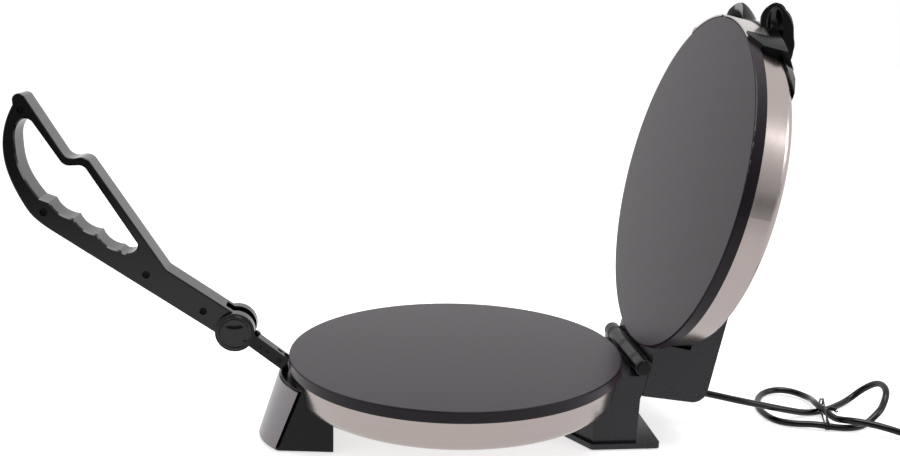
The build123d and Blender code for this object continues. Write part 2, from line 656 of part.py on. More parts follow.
def elbow_slot(layer):
    """Room between the cheeks for the lever's eye and for the lever as the handle folds."""
    eye = EYE_RADIUS + 2 * CHEEK_GAP
    layer -= rod(eye, -CHEEK_INNER, CHEEK_INNER)
    return layer - block(-CHEEK_INNER, CHEEK_INNER, -eye * 0.62, 60, -60, 60)


def handle_shell(side):
    inner = HANDLE_CORE_HALF + PIN_GAP
    span = (inner, HANDLE_HALF) if side > 0 else (-HANDLE_HALF, -inner)
    shell = handle_layer(*span)
    face = shell.faces().sort_by(Axis.X)[-1 if side > 0 else 0]
    shell = fillet(face.outer_wire().edges(), HANDLE_EDGE)
    face = shell.faces().sort_by(Axis.X)[-1 if side > 0 else 0]
    shell = chamfer(face.inner_wires()[0].edges(), HANDLE_EDGE)
    cheek = (CHEEK_INNER, CHEEK_OUTER) if side > 0 else (-CHEEK_OUTER, -CHEEK_INNER)
    shell += rod(CHEEK_RADIUS, *cheek)
    shell = elbow_slot(shell)
    shell -= rod(ELBOW_BOLT_RADIUS + PIN_GAP, -CHEEK_OUTER, CHEEK_OUTER)
    for y, z in handle_screw_places():
        shell -= rod(1.6, -HANDLE_HALF, HANDLE_HALF, y, z)
        face = side * HANDLE_HALF
        sink = sorted((face - side * 2 * HANDLE_SCREW_DEPTH, face))
        shell -= rod(HANDLE_SCREW_RADIUS + SEAT_GAP, *sink, y, z)
    return shell


def handle_core():
    core = elbow_slot(handle_layer(-HANDLE_CORE_HALF, HANDLE_CORE_HALF))
    for y, z in handle_screw_places():
        core -= rod(1.6, -HANDLE_HALF, HANDLE_HALF, y, z)
    return core


def handle_screws():
    screws = []
    reach = HANDLE_HALF - HANDLE_SCREW_DEPTH
    for y, z in handle_screw_places():
        shank = rod(1.5, -reach, reach, y, z)
        heads = [rod(HANDLE_SCREW_RADIUS, *sorted((s * (reach - 1.4), s * reach)), y, z) for s in (-1, 1)]
        screws.append(shank + heads[0] + heads[1])
    return screws


def elbow_cap():
    """Round cap on the near cheek, with a thumb dimple."""
    cap = rod(CAP_RADIUS, CHEEK_OUTER, CHEEK_OUTER + CAP_RISE)
    cap = fillet(cap.edges().sort_by(Axis.X)[-1], 1.0)
    dimple = Pos(CHEEK_OUTER + CAP_RISE + 7.4, 0, 6.5) * Sphere(8.2)
    return cap - dimple


# ---------------------------------------------------------------- lid: hinge block, bracket, wear strip
def hinge_block():
    top_front = BLOCK_FRONT_Y
    dome = PAN_DEPTH + PLATE_GAP
    side = [(HINGE_Y - 24, BLOCK_BOTTOM_Z), (BLOCK_REAR_Y + 1, BLOCK_BOTTOM_Z), (BLOCK_REAR_Y - 3, BLOCK_TOP_Z),
            (top_front + 14, BLOCK_TOP_Z - 1.5), (BLOCK_NOSE_Y, dome - 2), (HINGE_Y - 24, dome - 2)]
    body = slab(side, -POST_HALF, POST_HALF)
    body = fillet(body.edges().filter_by(Axis.X).sort_by(Axis.Z)[-2], BLOCK_CORNER)
    body = fillet(body.edges().filter_by(Axis.X).sort_by(Axis.Z)[-1], BLOCK_CORNER)
    body -= flip(pan_clearance())
    cavity = [(HINGE_Y + 12, BLOCK_BOTTOM_Z + 7), (BLOCK_REAR_Y - 4, BLOCK_BOTTOM_Z + 7),
              (BLOCK_REAR_Y - 7, BLOCK_TOP_Z - 14), (BLOCK_REAR_Y - 16, BLOCK_TOP_Z - BLOCK_WALL),
              (top_front + 22, BLOCK_TOP_Z - BLOCK_WALL - 2), (BLOCK_FRONT_Y + 4, dome + 3),
              (HINGE_Y + 12, dome + 3)]
    body -= slab(cavity, -POST_HALF + BLOCK_WALL, POST_HALF - BLOCK_WALL)
    body = carry_knuckles(body, "lid", HINGE_Y - 3, HINGE_Z + 4, HINGE_Y + 3, BLOCK_BOTTOM_Z + 4)
    for x in (-LENS_SPACING / 2, LENS_SPACING / 2):
        body -= disc(LENS_RADIUS + PIN_GAP, BLOCK_TOP_Z - 8, BLOCK_TOP_Z + 2, x, lens_y())
    return body - rod(HINGE_PIN_RADIUS + PIN_GAP, -BARREL_HALF, BARREL_HALF, HINGE_Y, HINGE_Z)


def lens_y():
    return (BLOCK_FRONT_Y + BLOCK_REAR_Y) / 2


def indicator_lens(x):
    lens = disc(LENS_RADIUS, BLOCK_TOP_Z - BLOCK_WALL - 2, BLOCK_TOP_Z + LENS_RISE, x, lens_y())
    return fillet(lens.edges().sort_by(Axis.Z)[-1], LENS_RISE * 0.9)


def ear_outline(size):
    """Side view of one ear with the lid shut, drawn in towards its focus: low front edge, rounded tip, long back."""
    focus_y, focus_z = EAR_FOCUS

    def at(y, z):
        return 0, FRONT_Y + focus_y + size * (y - focus_y), focus_z + size * (z - focus_z)

    low = Spline(at(10, 22.2), at(1, 19.7), at(-6, 18.4), at(-13.5, 21.5))
    tip = ThreePointArc(at(-13.5, 21.5), at(-18.6, 28.5), at(-15.2, 37.3))
    ridge = Spline(at(-15.2, 37.3), at(-6.8, 46.3), at(3.3, 50.4), at(16, 54.0), at(38, 47.0))
    base = Polyline(at(38, 47.0), at(38, 40), at(10, 40), at(10, 22.2))
    return make_face([low, tip, ridge, base])


def ear_scoop():
    """Leaf-shaped hollow in the near ear's outer side."""
    wide = EAR_SCOOP_WIDTH / 2
    stand = (wide ** 2 - EAR_SCOOP_DEPTH ** 2) / (2 * EAR_SCOOP_DEPTH)
    top = stand + EAR_SCOOP_DEPTH
    bow = (EAR_SCOOP_HALF ** 2 + EAR_SCOOP_DEPTH ** 2) / (2 * EAR_SCOOP_DEPTH)
    reach = math.sqrt(bow ** 2 - (bow - top) ** 2)
    arc = ThreePointArc((-reach, 0, 0), (0, 0, top), (reach, 0, 0))
    leaf = revolve(make_face([arc, Line((reach, 0, 0), (-reach, 0, 0))]), axis=Axis.X)
    leaf = Rot(EAR_SCOOP_LEAN, 0, 0) * (Rot(0, 0, 90) * leaf)
    return Pos(EAR_INNER + EAR_THICKNESS + stand, *EAR_SCOOP_MIDDLE) * leaf


def ear(side):
    outer = Pos(EAR_INNER + EAR_THICKNESS, 0, 0) * ear_outline(1.0)
    horn = loft([Pos(EAR_INNER, 0, 0) * ear_outline(EAR_SHRINK), outer])
    horn -= ear_scoop()
    return horn if side > 0 else mirror(horn, about=Plane.YZ)


def both_sides(piece):
    return piece + mirror(piece, about=Plane.YZ)


def front_view(points, y0, y1):
    """Front view outline, given as (x, z) points, made solid between two Y planes."""
    outline = make_face(Polyline(*[(x, 0, z) for x, z in points], close=True))
    return Pos(0, y0, 0) * extrude(outline, amount=y1 - y0, dir=(0, 1, 0))


def bracket_corners():
    """What is cut from the bracket's lower corners, from the strip's ends upwards."""
    angle = math.radians(BRACKET_ANGLE)
    strip = PLATE_RADIUS * math.sin(math.radians(WEAR_ANGLE))
    side = PLATE_RADIUS * math.sin(angle)
    corner = [(strip + 1, -5), (strip + 1, 0), (side, PLATE_SKIRT + 1), (side + 10, PLATE_SKIRT + 1), (side + 10, -5)]
    return both_sides(front_view(corner, FRONT_Y - 10, 0))


def bracket_wings():
    """Horns that run on round the dome's corner and taper to a tip at each side."""
    dome = PAN_DEPTH + PLATE_GAP
    crown = dome + BRACKET_TOP
    inner = PAN_RADIUS - BRACKET_DEPTH + 8
    wall = PAN_RADIUS - 1
    profile = [(wall, dome - 18), (wall, dome - 6), (wall - 6.5, crown - 2), (wall - 10, crown),
               (inner, crown), (inner, dome - 1), (PAN_LOW_RADIUS - 6, dome - 18)]
    ring = sector(profile, -BRACKET_WING_ANGLE, BRACKET_WING_ANGLE)
    tip = PAN_LOW_RADIUS * math.sin(math.radians(BRACKET_WING_ANGLE)) - 2
    horn = [(tip - 44, dome - 9), (tip - 25, dome - 8), (tip - 15, dome - 4), (tip - 4, dome - 1.2), (tip, dome + 0.3),
            (tip - 24, crown), (tip - 44, crown)]
    return ring & both_sides(front_view(horn, FRONT_Y - 10, 0))


def front_bracket():
    low = PLATE_GAP + 0.4
    wall_in = PLATE_RADIUS + 2 * SEAT_GAP
    wall_out = wall_in + BRACKET_WALL
    dome = PAN_DEPTH + PLATE_GAP
    crown = dome + BRACKET_TOP
    deep = PAN_RADIUS - BRACKET_DEPTH
    hook = [(wall_out, low), (wall_out, crown - 12), (PAN_RADIUS - 9, crown), (deep, crown - 1.5),
            (deep - 3, dome), (PAN_LOW_RADIUS - 6, dome - 8), (PAN_LOW_RADIUS, low + 9), (wall_in - 4, low)]
    body = sector(hook, -BRACKET_ANGLE, BRACKET_ANGLE)
    body -= bracket_corners()
    body += bracket_wings()
    body += ear(1) + ear(-1)
    body -= flip(pan_clearance(2 * SEAT_GAP))
    recess = [(wall_in - 2, 0), (wall_in + WEAR_SHEET + 2 * SEAT_GAP, 0),
              (wall_in + WEAR_SHEET + 2 * SEAT_GAP, WEAR_HEIGHT + SEAT_GAP), (wall_in - 2, WEAR_HEIGHT + SEAT_GAP)]
    body -= sector(recess, -WEAR_ANGLE - 0.1, WEAR_ANGLE + 0.1)
    window = sector([(wall_in - 2, 0), (wall_out + 1, 0), (wall_out + 1, WEAR_HEIGHT - 3), (wall_in - 2, WEAR_HEIGHT - 3)],
                    -WEAR_ANGLE + 2.5, WEAR_ANGLE - 2.5)
    body -= window
    top = dome + BRACKET_TOP
    for x, y in bracket_screw_places():
        body -= disc(2 * BRACKET_SCREW_SHANK + SEAT_GAP, top - 1.2, top + 2, x, y)
        body -= disc(BRACKET_SCREW_SHANK + PIN_GAP, dome - 2, top, x, y)
    return body


def wear_strip():
    """Bent steel strip that the elbow bears on, its lower edge flush with the cooking face."""
    inner = PLATE_RADIUS + 3 * SEAT_GAP
    profile = [(inner, PLATE_GAP), (inner + WEAR_SHEET, PLATE_GAP), (inner + WEAR_SHEET, WEAR_HEIGHT),
               (inner, WEAR_HEIGHT)]
    strip = sector(profile, -WEAR_ANGLE, WEAR_ANGLE)
    return strip - block(-WEAR_NOTCH, WEAR_NOTCH, FRONT_Y - 10, FRONT_Y + 10, 0, PLATE_GAP + 1.2)


def bracket_screw_places():
    radius = PAN_RADIUS - BRACKET_DEPTH + 8
    turns = [math.radians(side * BRACKET_SCREW_ANGLE - 90) for side in (-1, 1)]
    return [(radius * math.cos(turn), radius * math.sin(turn)) for turn in turns]


def bracket_screws():
    """Screws that hold the bracket down on the dome."""
    top = PAN_DEPTH + PLATE_GAP + BRACKET_TOP
    low = PAN_DEPTH + PLATE_GAP + 2 * SEAT_GAP
    return [disc(2 * BRACKET_SCREW_SHANK, top - 1.2, top + 0.8, x, y) + disc(BRACKET_SCREW_SHANK, low, top, x, y)
            for x, y in bracket_screw_places()]


# ---------------------------------------------------------------- mains lead
def terminal_block():
    low = -PAN_DEPTH + PAN_WALL + SEAT_GAP
    body = block(16, 48, REAR_Y - 36, REAR_Y - 22, low, low + 12)
    for x in (22, 32, 42):
        body -= disc(2.2, low + 7, low + 12, x, REAR_Y - 29)
    return body


def cord_gland():
    """Tapered strain relief through the rear wall, with ribs and a collar."""
    root = POST_REAR_Y + SEAT_GAP
    sleeve = Pos(0, root + GLAND_LENGTH / 2, CORD_EXIT_Z) * (
        Rot(90, 0, 0) * Cone(GLAND_RADIUS, CORD_DIAMETER / 2 + 1.2, GLAND_LENGTH))
    stem = Pos(0, root - 5, CORD_EXIT_Z) * (Rot(90, 0, 0) * Cylinder(GLAND_RADIUS - 1.5, 10))
    collar = Pos(0, root + 1.2, CORD_EXIT_Z) * (Rot(90, 0, 0) * Cylinder(GLAND_RADIUS + 1.5, 2.4))
    return sleeve + stem + collar


CORD_START_Y = POST_REAR_Y + SEAT_GAP + GLAND_LENGTH
CORD_OVER_Z = CORD_FLOOR_Z + CORD_DIAMETER + 3.0      # middle of a strand that rides over another
CORD_TIED_Z = CORD_FLOOR_Z + TIE_THICKNESS + 0.3      # middle of a strand inside the tie

CORD_STEPS = [
    (1, 62, CORD_EXIT_Z), (6, 90, -45.0), (8, 118, -53.5), (1, 143, CORD_OVER_Z),
    (-3, 167, CORD_OVER_Z), (-7, 192, CORD_TIED_Z), (-15, 215, CORD_TIED_Z), (-26, 236, -69),
    (-38, 254, -63), (-35.5, 272.5, -55), (-20, 284, -51), (-1, 280, -53), (8, 263, -60),
    (17, 246, -68), (22, 228, CORD_FLOOR_Z), (25, 210, CORD_TIED_Z), (24, 193, CORD_TIED_Z),
    (18, 177, CORD_FLOOR_Z), (7, 161, CORD_FLOOR_Z), (-10, 152, CORD_FLOOR_Z),
    (-31, 151, CORD_FLOOR_Z), (-53, 160, CORD_FLOOR_Z), (-70, 177, CORD_FLOOR_Z),
    (-75, 199, CORD_FLOOR_Z), (-63, 217, CORD_FLOOR_Z), (-42, 222, -69), (-23, 219, CORD_OVER_Z),
    (-3, 215, CORD_OVER_Z), (16, 223, CORD_OVER_Z), (31, 236, CORD_OVER_Z), (43, 252, -69),
    (55, 270, CORD_FLOOR_Z), (70, 286, CORD_FLOOR_Z)]          # x, distance behind the plates, z
CORD_ROUTE = [(0, CORD_START_Y, CORD_EXIT_Z)] + [(x, REAR_Y + y, z) for x, y, z in CORD_STEPS]


def turn_between(before, point, after):
    return math.radians((Vector(*point) - Vector(*before)).get_angle(Vector(*after) - Vector(*point)))


def cord_radii(route):
    """Each corner's arc, as large as its two runs allow."""
    radii = []
    for before, point, after in zip(route, route[1:], route[2:]):
        shorter = min(math.dist(before, point), math.dist(point, after))
        radii.append(0.45 * shorter / math.tan(turn_between(before, point, after) / 2))
    return radii


def power_cord():
    radii = cord_radii(CORD_ROUTE)
    print("cord bend radii:", [round(radius) for radius in radii])
    path = FilletPolyline(*CORD_ROUTE, radius=radii)
    section = Plane(CORD_ROUTE[0], z_dir=(0, 1, 0)) * Circle(CORD_DIAMETER / 2)
    tube = sweep(section, path=path)
    expected = path.length * math.pi * (CORD_DIAMETER / 2) ** 2
    print("cord length", round(path.length, 1), "volume ratio", round(tube.volume / expected, 4))
    return tube


def coil_centre():
    """Put-away turns lie so that the lead's last run is a tangent of the outer turn."""
    (x0, y0, _), (x1, y1, _) = CORD_ROUTE[-2:]
    run = math.hypot(x1 - x0, y1 - y0)
    dx, dy = (x1 - x0) / run, (y1 - y0) / run
    radius = COIL_MEAN_RADIUS + CORD_DIAMETER / 2
    ahead = math.sqrt((radius + CORD_DIAMETER / 2 + SEAT_GAP) ** 2 - (radius - CORD_DIAMETER / 2) ** 2)
    return x1 + ahead * dx - radius * dy, y1 + ahead * dy + radius * dx


COIL_CENTRE = coil_centre()


def cord_coil():
    """Outer shape of the put-away turns, two wide and two high."""
    ring = Cylinder(COIL_MEAN_RADIUS + CORD_DIAMETER, 2 * CORD_DIAMETER)
    ring -= Cylinder(COIL_MEAN_RADIUS - CORD_DIAMETER, 2 * CORD_DIAMETER)
    ring = fillet(ring.edges(), CORD_DIAMETER / 2)
    return Pos(*COIL_CENTRE, FLOOR_Z + CORD_DIAMETER) * ring


def twist_tie():
    """Flat wire tie round the two strands, with its twisted tail."""
    strands = (-12.5, 25.0)
    inside = strands[1] - strands[0] + CORD_DIAMETER + 3.0
    height = CORD_DIAMETER + 0.6
    outline = SlotOverall(inside + 2 * TIE_THICKNESS, height + 2 * TIE_THICKNESS) - SlotOverall(inside, height)
    band = Rot(90, 0, 0) * extrude(outline, amount=TIE_WIDTH / 2, both=True)
    tail = Pos(0, 0, height / 2 + TIE_THICKNESS + 3) * Cylinder(TIE_THICKNESS, 8)
    return Pos(sum(strands) / 2, REAR_Y + 207, CORD_TIED_Z) * (band + tail)


def plug_place():
    """Plug's neck leaves the outer turn along its tangent."""
    radius = COIL_MEAN_RADIUS + CORD_DIAMETER / 2
    outside = radius + CORD_DIAMETER / 2 + SEAT_GAP
    ahead = math.sqrt(outside ** 2 - (radius - PLUG_NECK_RADIUS) ** 2)
    return COIL_CENTRE[0] - ahead, COIL_CENTRE[1] + radius, FLOOR_Z + PLUG_HEIGHT / 2


def plug():
    """Moulded two-blade plug lying on its side."""
    body = fillet(Box(PLUG_LENGTH, PLUG_WIDTH, PLUG_HEIGHT).edges(), 4)
    neck = Rot(0, 90, 0) * Cone(PLUG_NECK_RADIUS, 1.4 * PLUG_NECK_RADIUS, PLUG_NECK)
    body = Pos(PLUG_NECK + PLUG_LENGTH / 2 - 1, 0, 0) * body + Pos(PLUG_NECK / 2, 0, 0) * neck
    return Pos(*plug_place()) * (Rot(0, 0, 180) * body)


def plug_blades():
    x, y, z = plug_place()
    x -= PLUG_NECK + PLUG_LENGTH - 1 + SEAT_GAP
    return [block(x - 16, x, y + side * 6.3 - 0.75, y + side * 6.3 + 0.75, z - 3.2, z + 3.2) for side in (-1, 1)]


# ---------------------------------------------------------------- the whole machine
def base_nodes():
    return {
        "lower_housing": lower_pan(), "lower_plate": hot_plate(), "lower_gasket": plate_gasket(),
        "lower_reflector": reflector(), "lower_heating_element": heating_element(),
        "lower_element_clamps": element_clamps(), "lower_thermostat": thermostat(),
        "lower_thermal_fuse": thermal_fuse(), "lower_plate_screws": plate_screws(),
        "rear_foot": rear_foot(), "rear_foot_pads": rubber_pads(rear_pad_places()),
        "front_foot": front_foot(), "front_foot_cover": front_foot_cover(),
        "front_foot_pads": rubber_pads(front_pad_places()), "foot_screws": foot_screws(),
        "hinge_pin": hinge_pin(), "hinge_cap_far": hinge_cap(-1), "lever_pivot_pin": pivot_pin(),
        "terminal_block": terminal_block(), "cord_gland": cord_gland(), "power_cord": power_cord(),
        "cord_coil": cord_coil(), "twist_tie": twist_tie(), "plug": plug(), "plug_blades": plug_blades()}


def lid_nodes():
    half = LENS_SPACING / 2
    return {
        "upper_housing": flip(pan(False)), "upper_plate": flip(hot_plate()),
        "upper_gasket": flip(plate_gasket()), "upper_reflector": flip(reflector()),
        "upper_heating_element": flip(heating_element()),
        "upper_element_clamps": [flip(strap) for strap in element_clamps()],
        "upper_thermostat": flip(thermostat()),
        "upper_plate_screws": [flip(screw) for screw in plate_screws()],
        "lid_hinge_block": hinge_block(), "lid_front_bracket": front_bracket(),
        "lid_wear_strip": wear_strip(), "bracket_screws": bracket_screws(),
        "power_lens": indicator_lens(-half), "ready_lens": indicator_lens(half),
        "hinge_cap_near": hinge_cap(1)}


def lever_nodes():
    return {"lever_cover_near": arm_cover(1), "lever_cover_far": arm_cover(-1), "lever_core": arm_core(),
            "lever_rivets": arm_rivets(), "elbow_bolt": elbow_bolt(), "button_spring": button_spring(),
            "release_button": release_button()}


def handle_nodes():
    return {"handle_shell_near": handle_shell(1), "handle_shell_far": handle_shell(-1),
            "handle_core": handle_core(), "handle_screws": handle_screws(),
            "elbow_cap_near": elbow_cap(), "elbow_cap_far": mirror(elbow_cap(), about=Plane.YZ)}


def seat(piece):
    return Pos(0, PLATE_AXIS_Y, FLOOR_DROP) * piece


def write(nodes, place):
    for name, shape in nodes.items():
        solids = shape if isinstance(shape, list) else [shape]
        solids = [solid for piece in solids for solid in seat(place(piece)).solids()]
        export_step(solids[0] if len(solids) == 1 else Compound(children=solids), f"parts/{name}.step")


os.makedirs("parts", exist_ok=True)
write(base_nodes(), lambda piece: piece)
write(lid_nodes(), open_lid)
write(lever_nodes(), lean_arm)
write(handle_nodes(), at_elbow)
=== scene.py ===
import logging
import math
from dataclasses import dataclass
from enum import Enum
from typing import Any, Sequence

import bmesh
import bpy
import numpy as np
from mathutils import Matrix, Vector


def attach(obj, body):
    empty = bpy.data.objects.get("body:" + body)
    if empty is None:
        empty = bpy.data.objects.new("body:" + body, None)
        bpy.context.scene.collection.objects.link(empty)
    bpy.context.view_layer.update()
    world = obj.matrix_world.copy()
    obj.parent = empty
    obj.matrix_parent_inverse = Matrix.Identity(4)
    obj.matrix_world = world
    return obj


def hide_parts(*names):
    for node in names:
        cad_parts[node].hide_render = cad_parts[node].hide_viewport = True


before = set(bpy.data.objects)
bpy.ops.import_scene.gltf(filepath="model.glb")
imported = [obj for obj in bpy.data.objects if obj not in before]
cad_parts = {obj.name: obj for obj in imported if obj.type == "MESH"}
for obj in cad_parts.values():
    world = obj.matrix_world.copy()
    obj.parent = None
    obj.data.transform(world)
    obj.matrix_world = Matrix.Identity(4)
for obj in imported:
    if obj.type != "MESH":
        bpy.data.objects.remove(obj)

logging.basicConfig(level=logging.INFO, format="%(message)s")
log = logging.getLogger("roti_maker")

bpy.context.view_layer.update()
MM = 0.001
TURN = 2 * math.pi
WHITE = (1, 1, 1, 1)

# Places of the machine's main axes, in metres: X along the hinge, +Y to the lead, Z up.
PLATES_Y = 0.051
HINGE_POINT = (0.0, 0.211, 0.0755)
HINGE_RISE = -1.0              # hinge axis above the cooking faces, in millimetres
OPEN_ANGLE = math.radians(102.5)
ELBOW_POINT = (0.0, -0.14475, 0.10033)


class Slot(Enum):
    """Material slots of the part's record, one named for each new piece."""

    CORD = "cord_sheath"
    PLUG = "plug_body"
    PHENOLIC = "black_phenolic"
    SCREW = "screw_steel"
    HANDLE_SCREW = "handle_screw_black"


class Grain(Enum):
    """Ways that a surface's fine texture is laid."""

    ROUND = "turned about the plates' axis"
    ALONG_X = "drawn along the hinge's direction"
    EVEN = "the same in every direction"


# Change of a round grain's noise over one turn's unit direction: small, so that its lines run round.
ROUND_CHANGE = 1.6


# ------------------------------------------------------------------ colours and nodes
def linear(colour: str) -> tuple[float, float, float, float]:
    """Turn an sRGB hex colour into Blender's linear values.

    Args:
        colour: Six hex digits after a hash sign.

    Returns:
        Red, green, blue and alpha, linear.
    """
    parts = [int(colour[i:i + 2], 16) / 255 for i in (1, 3, 5)]
    red, green, blue = [c / 12.92 if c <= 0.04045 else ((c + 0.055) / 1.055) ** 2.4 for c in parts]
    return red, green, blue, 1.0


def add_node(tree: bpy.types.NodeTree, kind: str, inputs: dict | None = None,
             **settings: Any) -> bpy.types.Node:
    """Add one shader node with its settings and links.

    Args:
        tree: Node tree that gets the node.
        kind: Blender's name of the node type, after its prefix ShaderNode.
        inputs: Socket name or index to a value, or to the output socket that feeds it.
        settings: Properties of the node itself.

    Returns:
        The new node.
    """
    node = tree.nodes.new("ShaderNode" + kind)
    for name, value in settings.items():
        setattr(node, name, value)
    for name, value in (inputs or {}).items():
        if isinstance(value, bpy.types.NodeSocket):
            tree.links.new(value, node.inputs[name])
        else:
            node.inputs[name].default_value = value
    return node


@dataclass(frozen=True)
class Placement:
    """Where a pattern's own axes lie: the turn and shift that bring the part's frame to them.

    Attributes:
        shift: Shift in metres, after the turn.
        turn_x: Turn about X, in radians.
    """

    shift: tuple[float, float, float] = (0.0, 0.0, 0.0)
    turn_x: float = 0.0

    @staticmethod
    def on_lid() -> "Placement":
        """Axes of the lid as if it were shut, from the lid open as it rests.

        Returns:
            The shift along Y and Z that is left after the turn back about the hinge, and that turn.
        """
        c, s = math.cos(OPEN_ANGLE), math.sin(OPEN_ANGLE)
        y, z = HINGE_POINT[1], HINGE_POINT[2]
        back_y = y - (c * y - s * z)
        back_z = z - (s * y + c * z)
        return Placement((0.0, back_y - PLATES_Y, back_z), OPEN_ANGLE)

    @staticmethod
    def on_base() -> "Placement":
        """Axes of the lower half: the plates' own axis."""
        return Placement((0.0, -PLATES_Y, 0.0), 0.0)


HERE = Placement()
BASE_AXIS = Placement.on_base()
LID_AXIS = Placement.on_lid()


@dataclass(frozen=True)
class Finish:
    """A real material and how its surface was made.

    Attributes:
        name: The material's name, for what the real one is.
        colour: sRGB colour of the surface.
        second: sRGB colour that the variation goes to.
        roughness: Middle of the roughness.
        roughness_spread: How far the roughness varies each way.
        metallic: 1 for bare metal.
        ior: Index of refraction; a metal keeps the default.
        grain: How the texture is laid.
        grain_size: Size of the texture across its lines, in metres.
        grain_stretch: How much longer the texture is along its lines.
        relief: Depth of the texture's bump, in metres.
        cloud_size: Size of the slow variation, in metres.
        coat: Weight of a clear or glossy outer skin.
        coat_roughness: Roughness of that skin.
        transmission: How much light passes through.
        specular: Strength of the surface reflection, 0.5 for ordinary.
        sheen: Weight of the soft glow at grazing angles that a dusty or fine-grained coat has.
        sheen_tint: sRGB colour of that glow.
    """

    name: str
    colour: str
    second: str
    roughness: float
    roughness_spread: float = 0.05
    metallic: float = 0.0
    ior: float = 1.5
    grain: Grain = Grain.EVEN
    grain_size: float = 0.0008
    grain_stretch: float = 40.0
    relief: float = 0.00002
    cloud_size: float = 0.05
    coat: float = 0.0
    coat_roughness: float = 0.1
    transmission: float = 0.0
    specular: float = 0.5
    sheen: float = 0.0
    sheen_tint: str = "#ffffff"

    def material(self, place: Placement = HERE) -> bpy.types.Material:
        """Build the node material, or give the one already built for that placement.

        Args:
            place: Axes that the texture follows.

        Returns:
            The material.
        """
        tag = {HERE: "", BASE_AXIS: "_base", LID_AXIS: "_lid"}[place]
        known = bpy.data.materials.get(self.name + tag)
        if known:
            return known
        made = bpy.data.materials.new(self.name + tag)
        made.use_nodes = True
        tree = made.node_tree
        tree.nodes.clear()
        fine = self.fine_texture(tree, self.axes(tree, place))
        self.shade(tree, fine, self.cloud(tree, place))
        return made

    def axes(self, tree: bpy.types.NodeTree, place: Placement) -> bpy.types.NodeSocket:
        """Coordinates of the surface on the pattern's own axes.

        Args:
            tree: The material's nodes.
            place: Those axes.

        Returns:
            The coordinates.
        """
        where = add_node(tree, "TexCoord")
        turned = add_node(tree, "Mapping", {"Vector": where.outputs["Object"], "Location": place.shift,
                                            "Rotation": (place.turn_x, 0.0, 0.0)})
        return turned.outputs["Vector"]

    def fine_texture(self, tree: bpy.types.NodeTree, vector: bpy.types.NodeSocket) -> bpy.types.NodeSocket:
        """Fine texture of the surface: round lines, straight lines or an even grain.

        Args:
            tree: The material's nodes.
            vector: Coordinates on the pattern's axes.

        Returns:
            The texture's height, 0 to 1.
        """
        fine = 1 / self.grain_size
        if self.grain is Grain.EVEN:
            even = add_node(tree, "TexNoise", {"Vector": vector, "Scale": fine, "Detail": 3.0})
            return even.outputs["Fac"]
        if self.grain is Grain.ALONG_X:
            scale = (fine / self.grain_stretch, fine, fine)
            drawn = add_node(tree, "Mapping", {"Vector": vector, "Scale": scale}).outputs["Vector"]
            return add_node(tree, "TexNoise", {"Vector": drawn, "Scale": 1.0, "Detail": 2.0}).outputs["Fac"]
        # Round lines vary with radius and height, and hardly along the turn.
        split = add_node(tree, "SeparateXYZ", {"Vector": vector})
        flat = add_node(tree, "CombineXYZ", {"X": split.outputs["X"], "Y": split.outputs["Y"]})
        flat = flat.outputs["Vector"]
        radius = add_node(tree, "VectorMath", {0: flat}, operation="LENGTH")
        unit = add_node(tree, "VectorMath", {0: flat}, operation="NORMALIZE").outputs["Vector"]
        slow = add_node(tree, "VectorMath", {0: unit, 1: (ROUND_CHANGE,) * 3}, operation="MULTIPLY")
        along = add_node(tree, "SeparateXYZ", {"Vector": slow.outputs["Vector"]})
        across = add_node(tree, "Math", {0: radius.outputs["Value"], 1: split.outputs["Z"]}, operation="ADD")
        lines = add_node(tree, "Math", {0: across.outputs["Value"], 1: fine}, operation="MULTIPLY")
        laid = add_node(tree, "CombineXYZ", {"X": along.outputs["X"], "Y": along.outputs["Y"],
                                             "Z": lines.outputs["Value"]}).outputs["Vector"]
        return add_node(tree, "TexNoise", {"Vector": laid, "Scale": 1.0, "Detail": 3.0}).outputs["Fac"]

    def cloud(self, tree: bpy.types.NodeTree, place: Placement) -> bpy.types.NodeSocket:
        """Slow variation of colour over the piece.

        Args:
            tree: The material's nodes.
            place: Axes that it follows.

        Returns:
            The variation, 0 to 1.
        """
        slow = add_node(tree, "TexNoise", {"Vector": self.axes(tree, place), "Scale": 1 / self.cloud_size,
                                           "Detail": 2.0})
        return slow.outputs["Fac"]

    def shade(self, tree: bpy.types.NodeTree, fine: bpy.types.NodeSocket,
              cloud: bpy.types.NodeSocket) -> None:
        """Put colour, roughness and relief on the shader.

        Args:
            tree: The material's nodes.
            fine: Height of the fine texture.
            cloud: Slow variation.
        """
        blend = add_node(tree, "Math", {0: fine, 1: cloud}, operation="MULTIPLY")
        tint = add_node(tree, "Mix", {"Factor": blend.outputs["Value"]}, data_type="RGBA")
        tint.inputs["A"].default_value = linear(self.colour)
        tint.inputs["B"].default_value = linear(self.second)
        rough = add_node(tree, "MapRange", {"Value": fine, "From Min": 0.25, "From Max": 0.75,
                                            "To Min": self.roughness - self.roughness_spread,
                                            "To Max": self.roughness + self.roughness_spread})
        bump = add_node(tree, "Bump", {"Height": fine, "Distance": self.relief, "Strength": 1.0})
        shader = add_node(tree, "BsdfPrincipled", {
            "Base Color": tint.outputs["Result"], "Roughness": rough.outputs["Result"],
            "Normal": bump.outputs["Normal"], "Metallic": self.metallic, "Coat Weight": self.coat,
            "Coat Roughness": self.coat_roughness, "Transmission Weight": self.transmission,
            "Specular IOR Level": self.specular, "Sheen Weight": self.sheen,
            "Sheen Tint": linear(self.sheen_tint)})
        if self.metallic < 1:
            shader.inputs["IOR"].default_value = self.ior
        add_node(tree, "OutputMaterial", {"Surface": shader.outputs["BSDF"]})


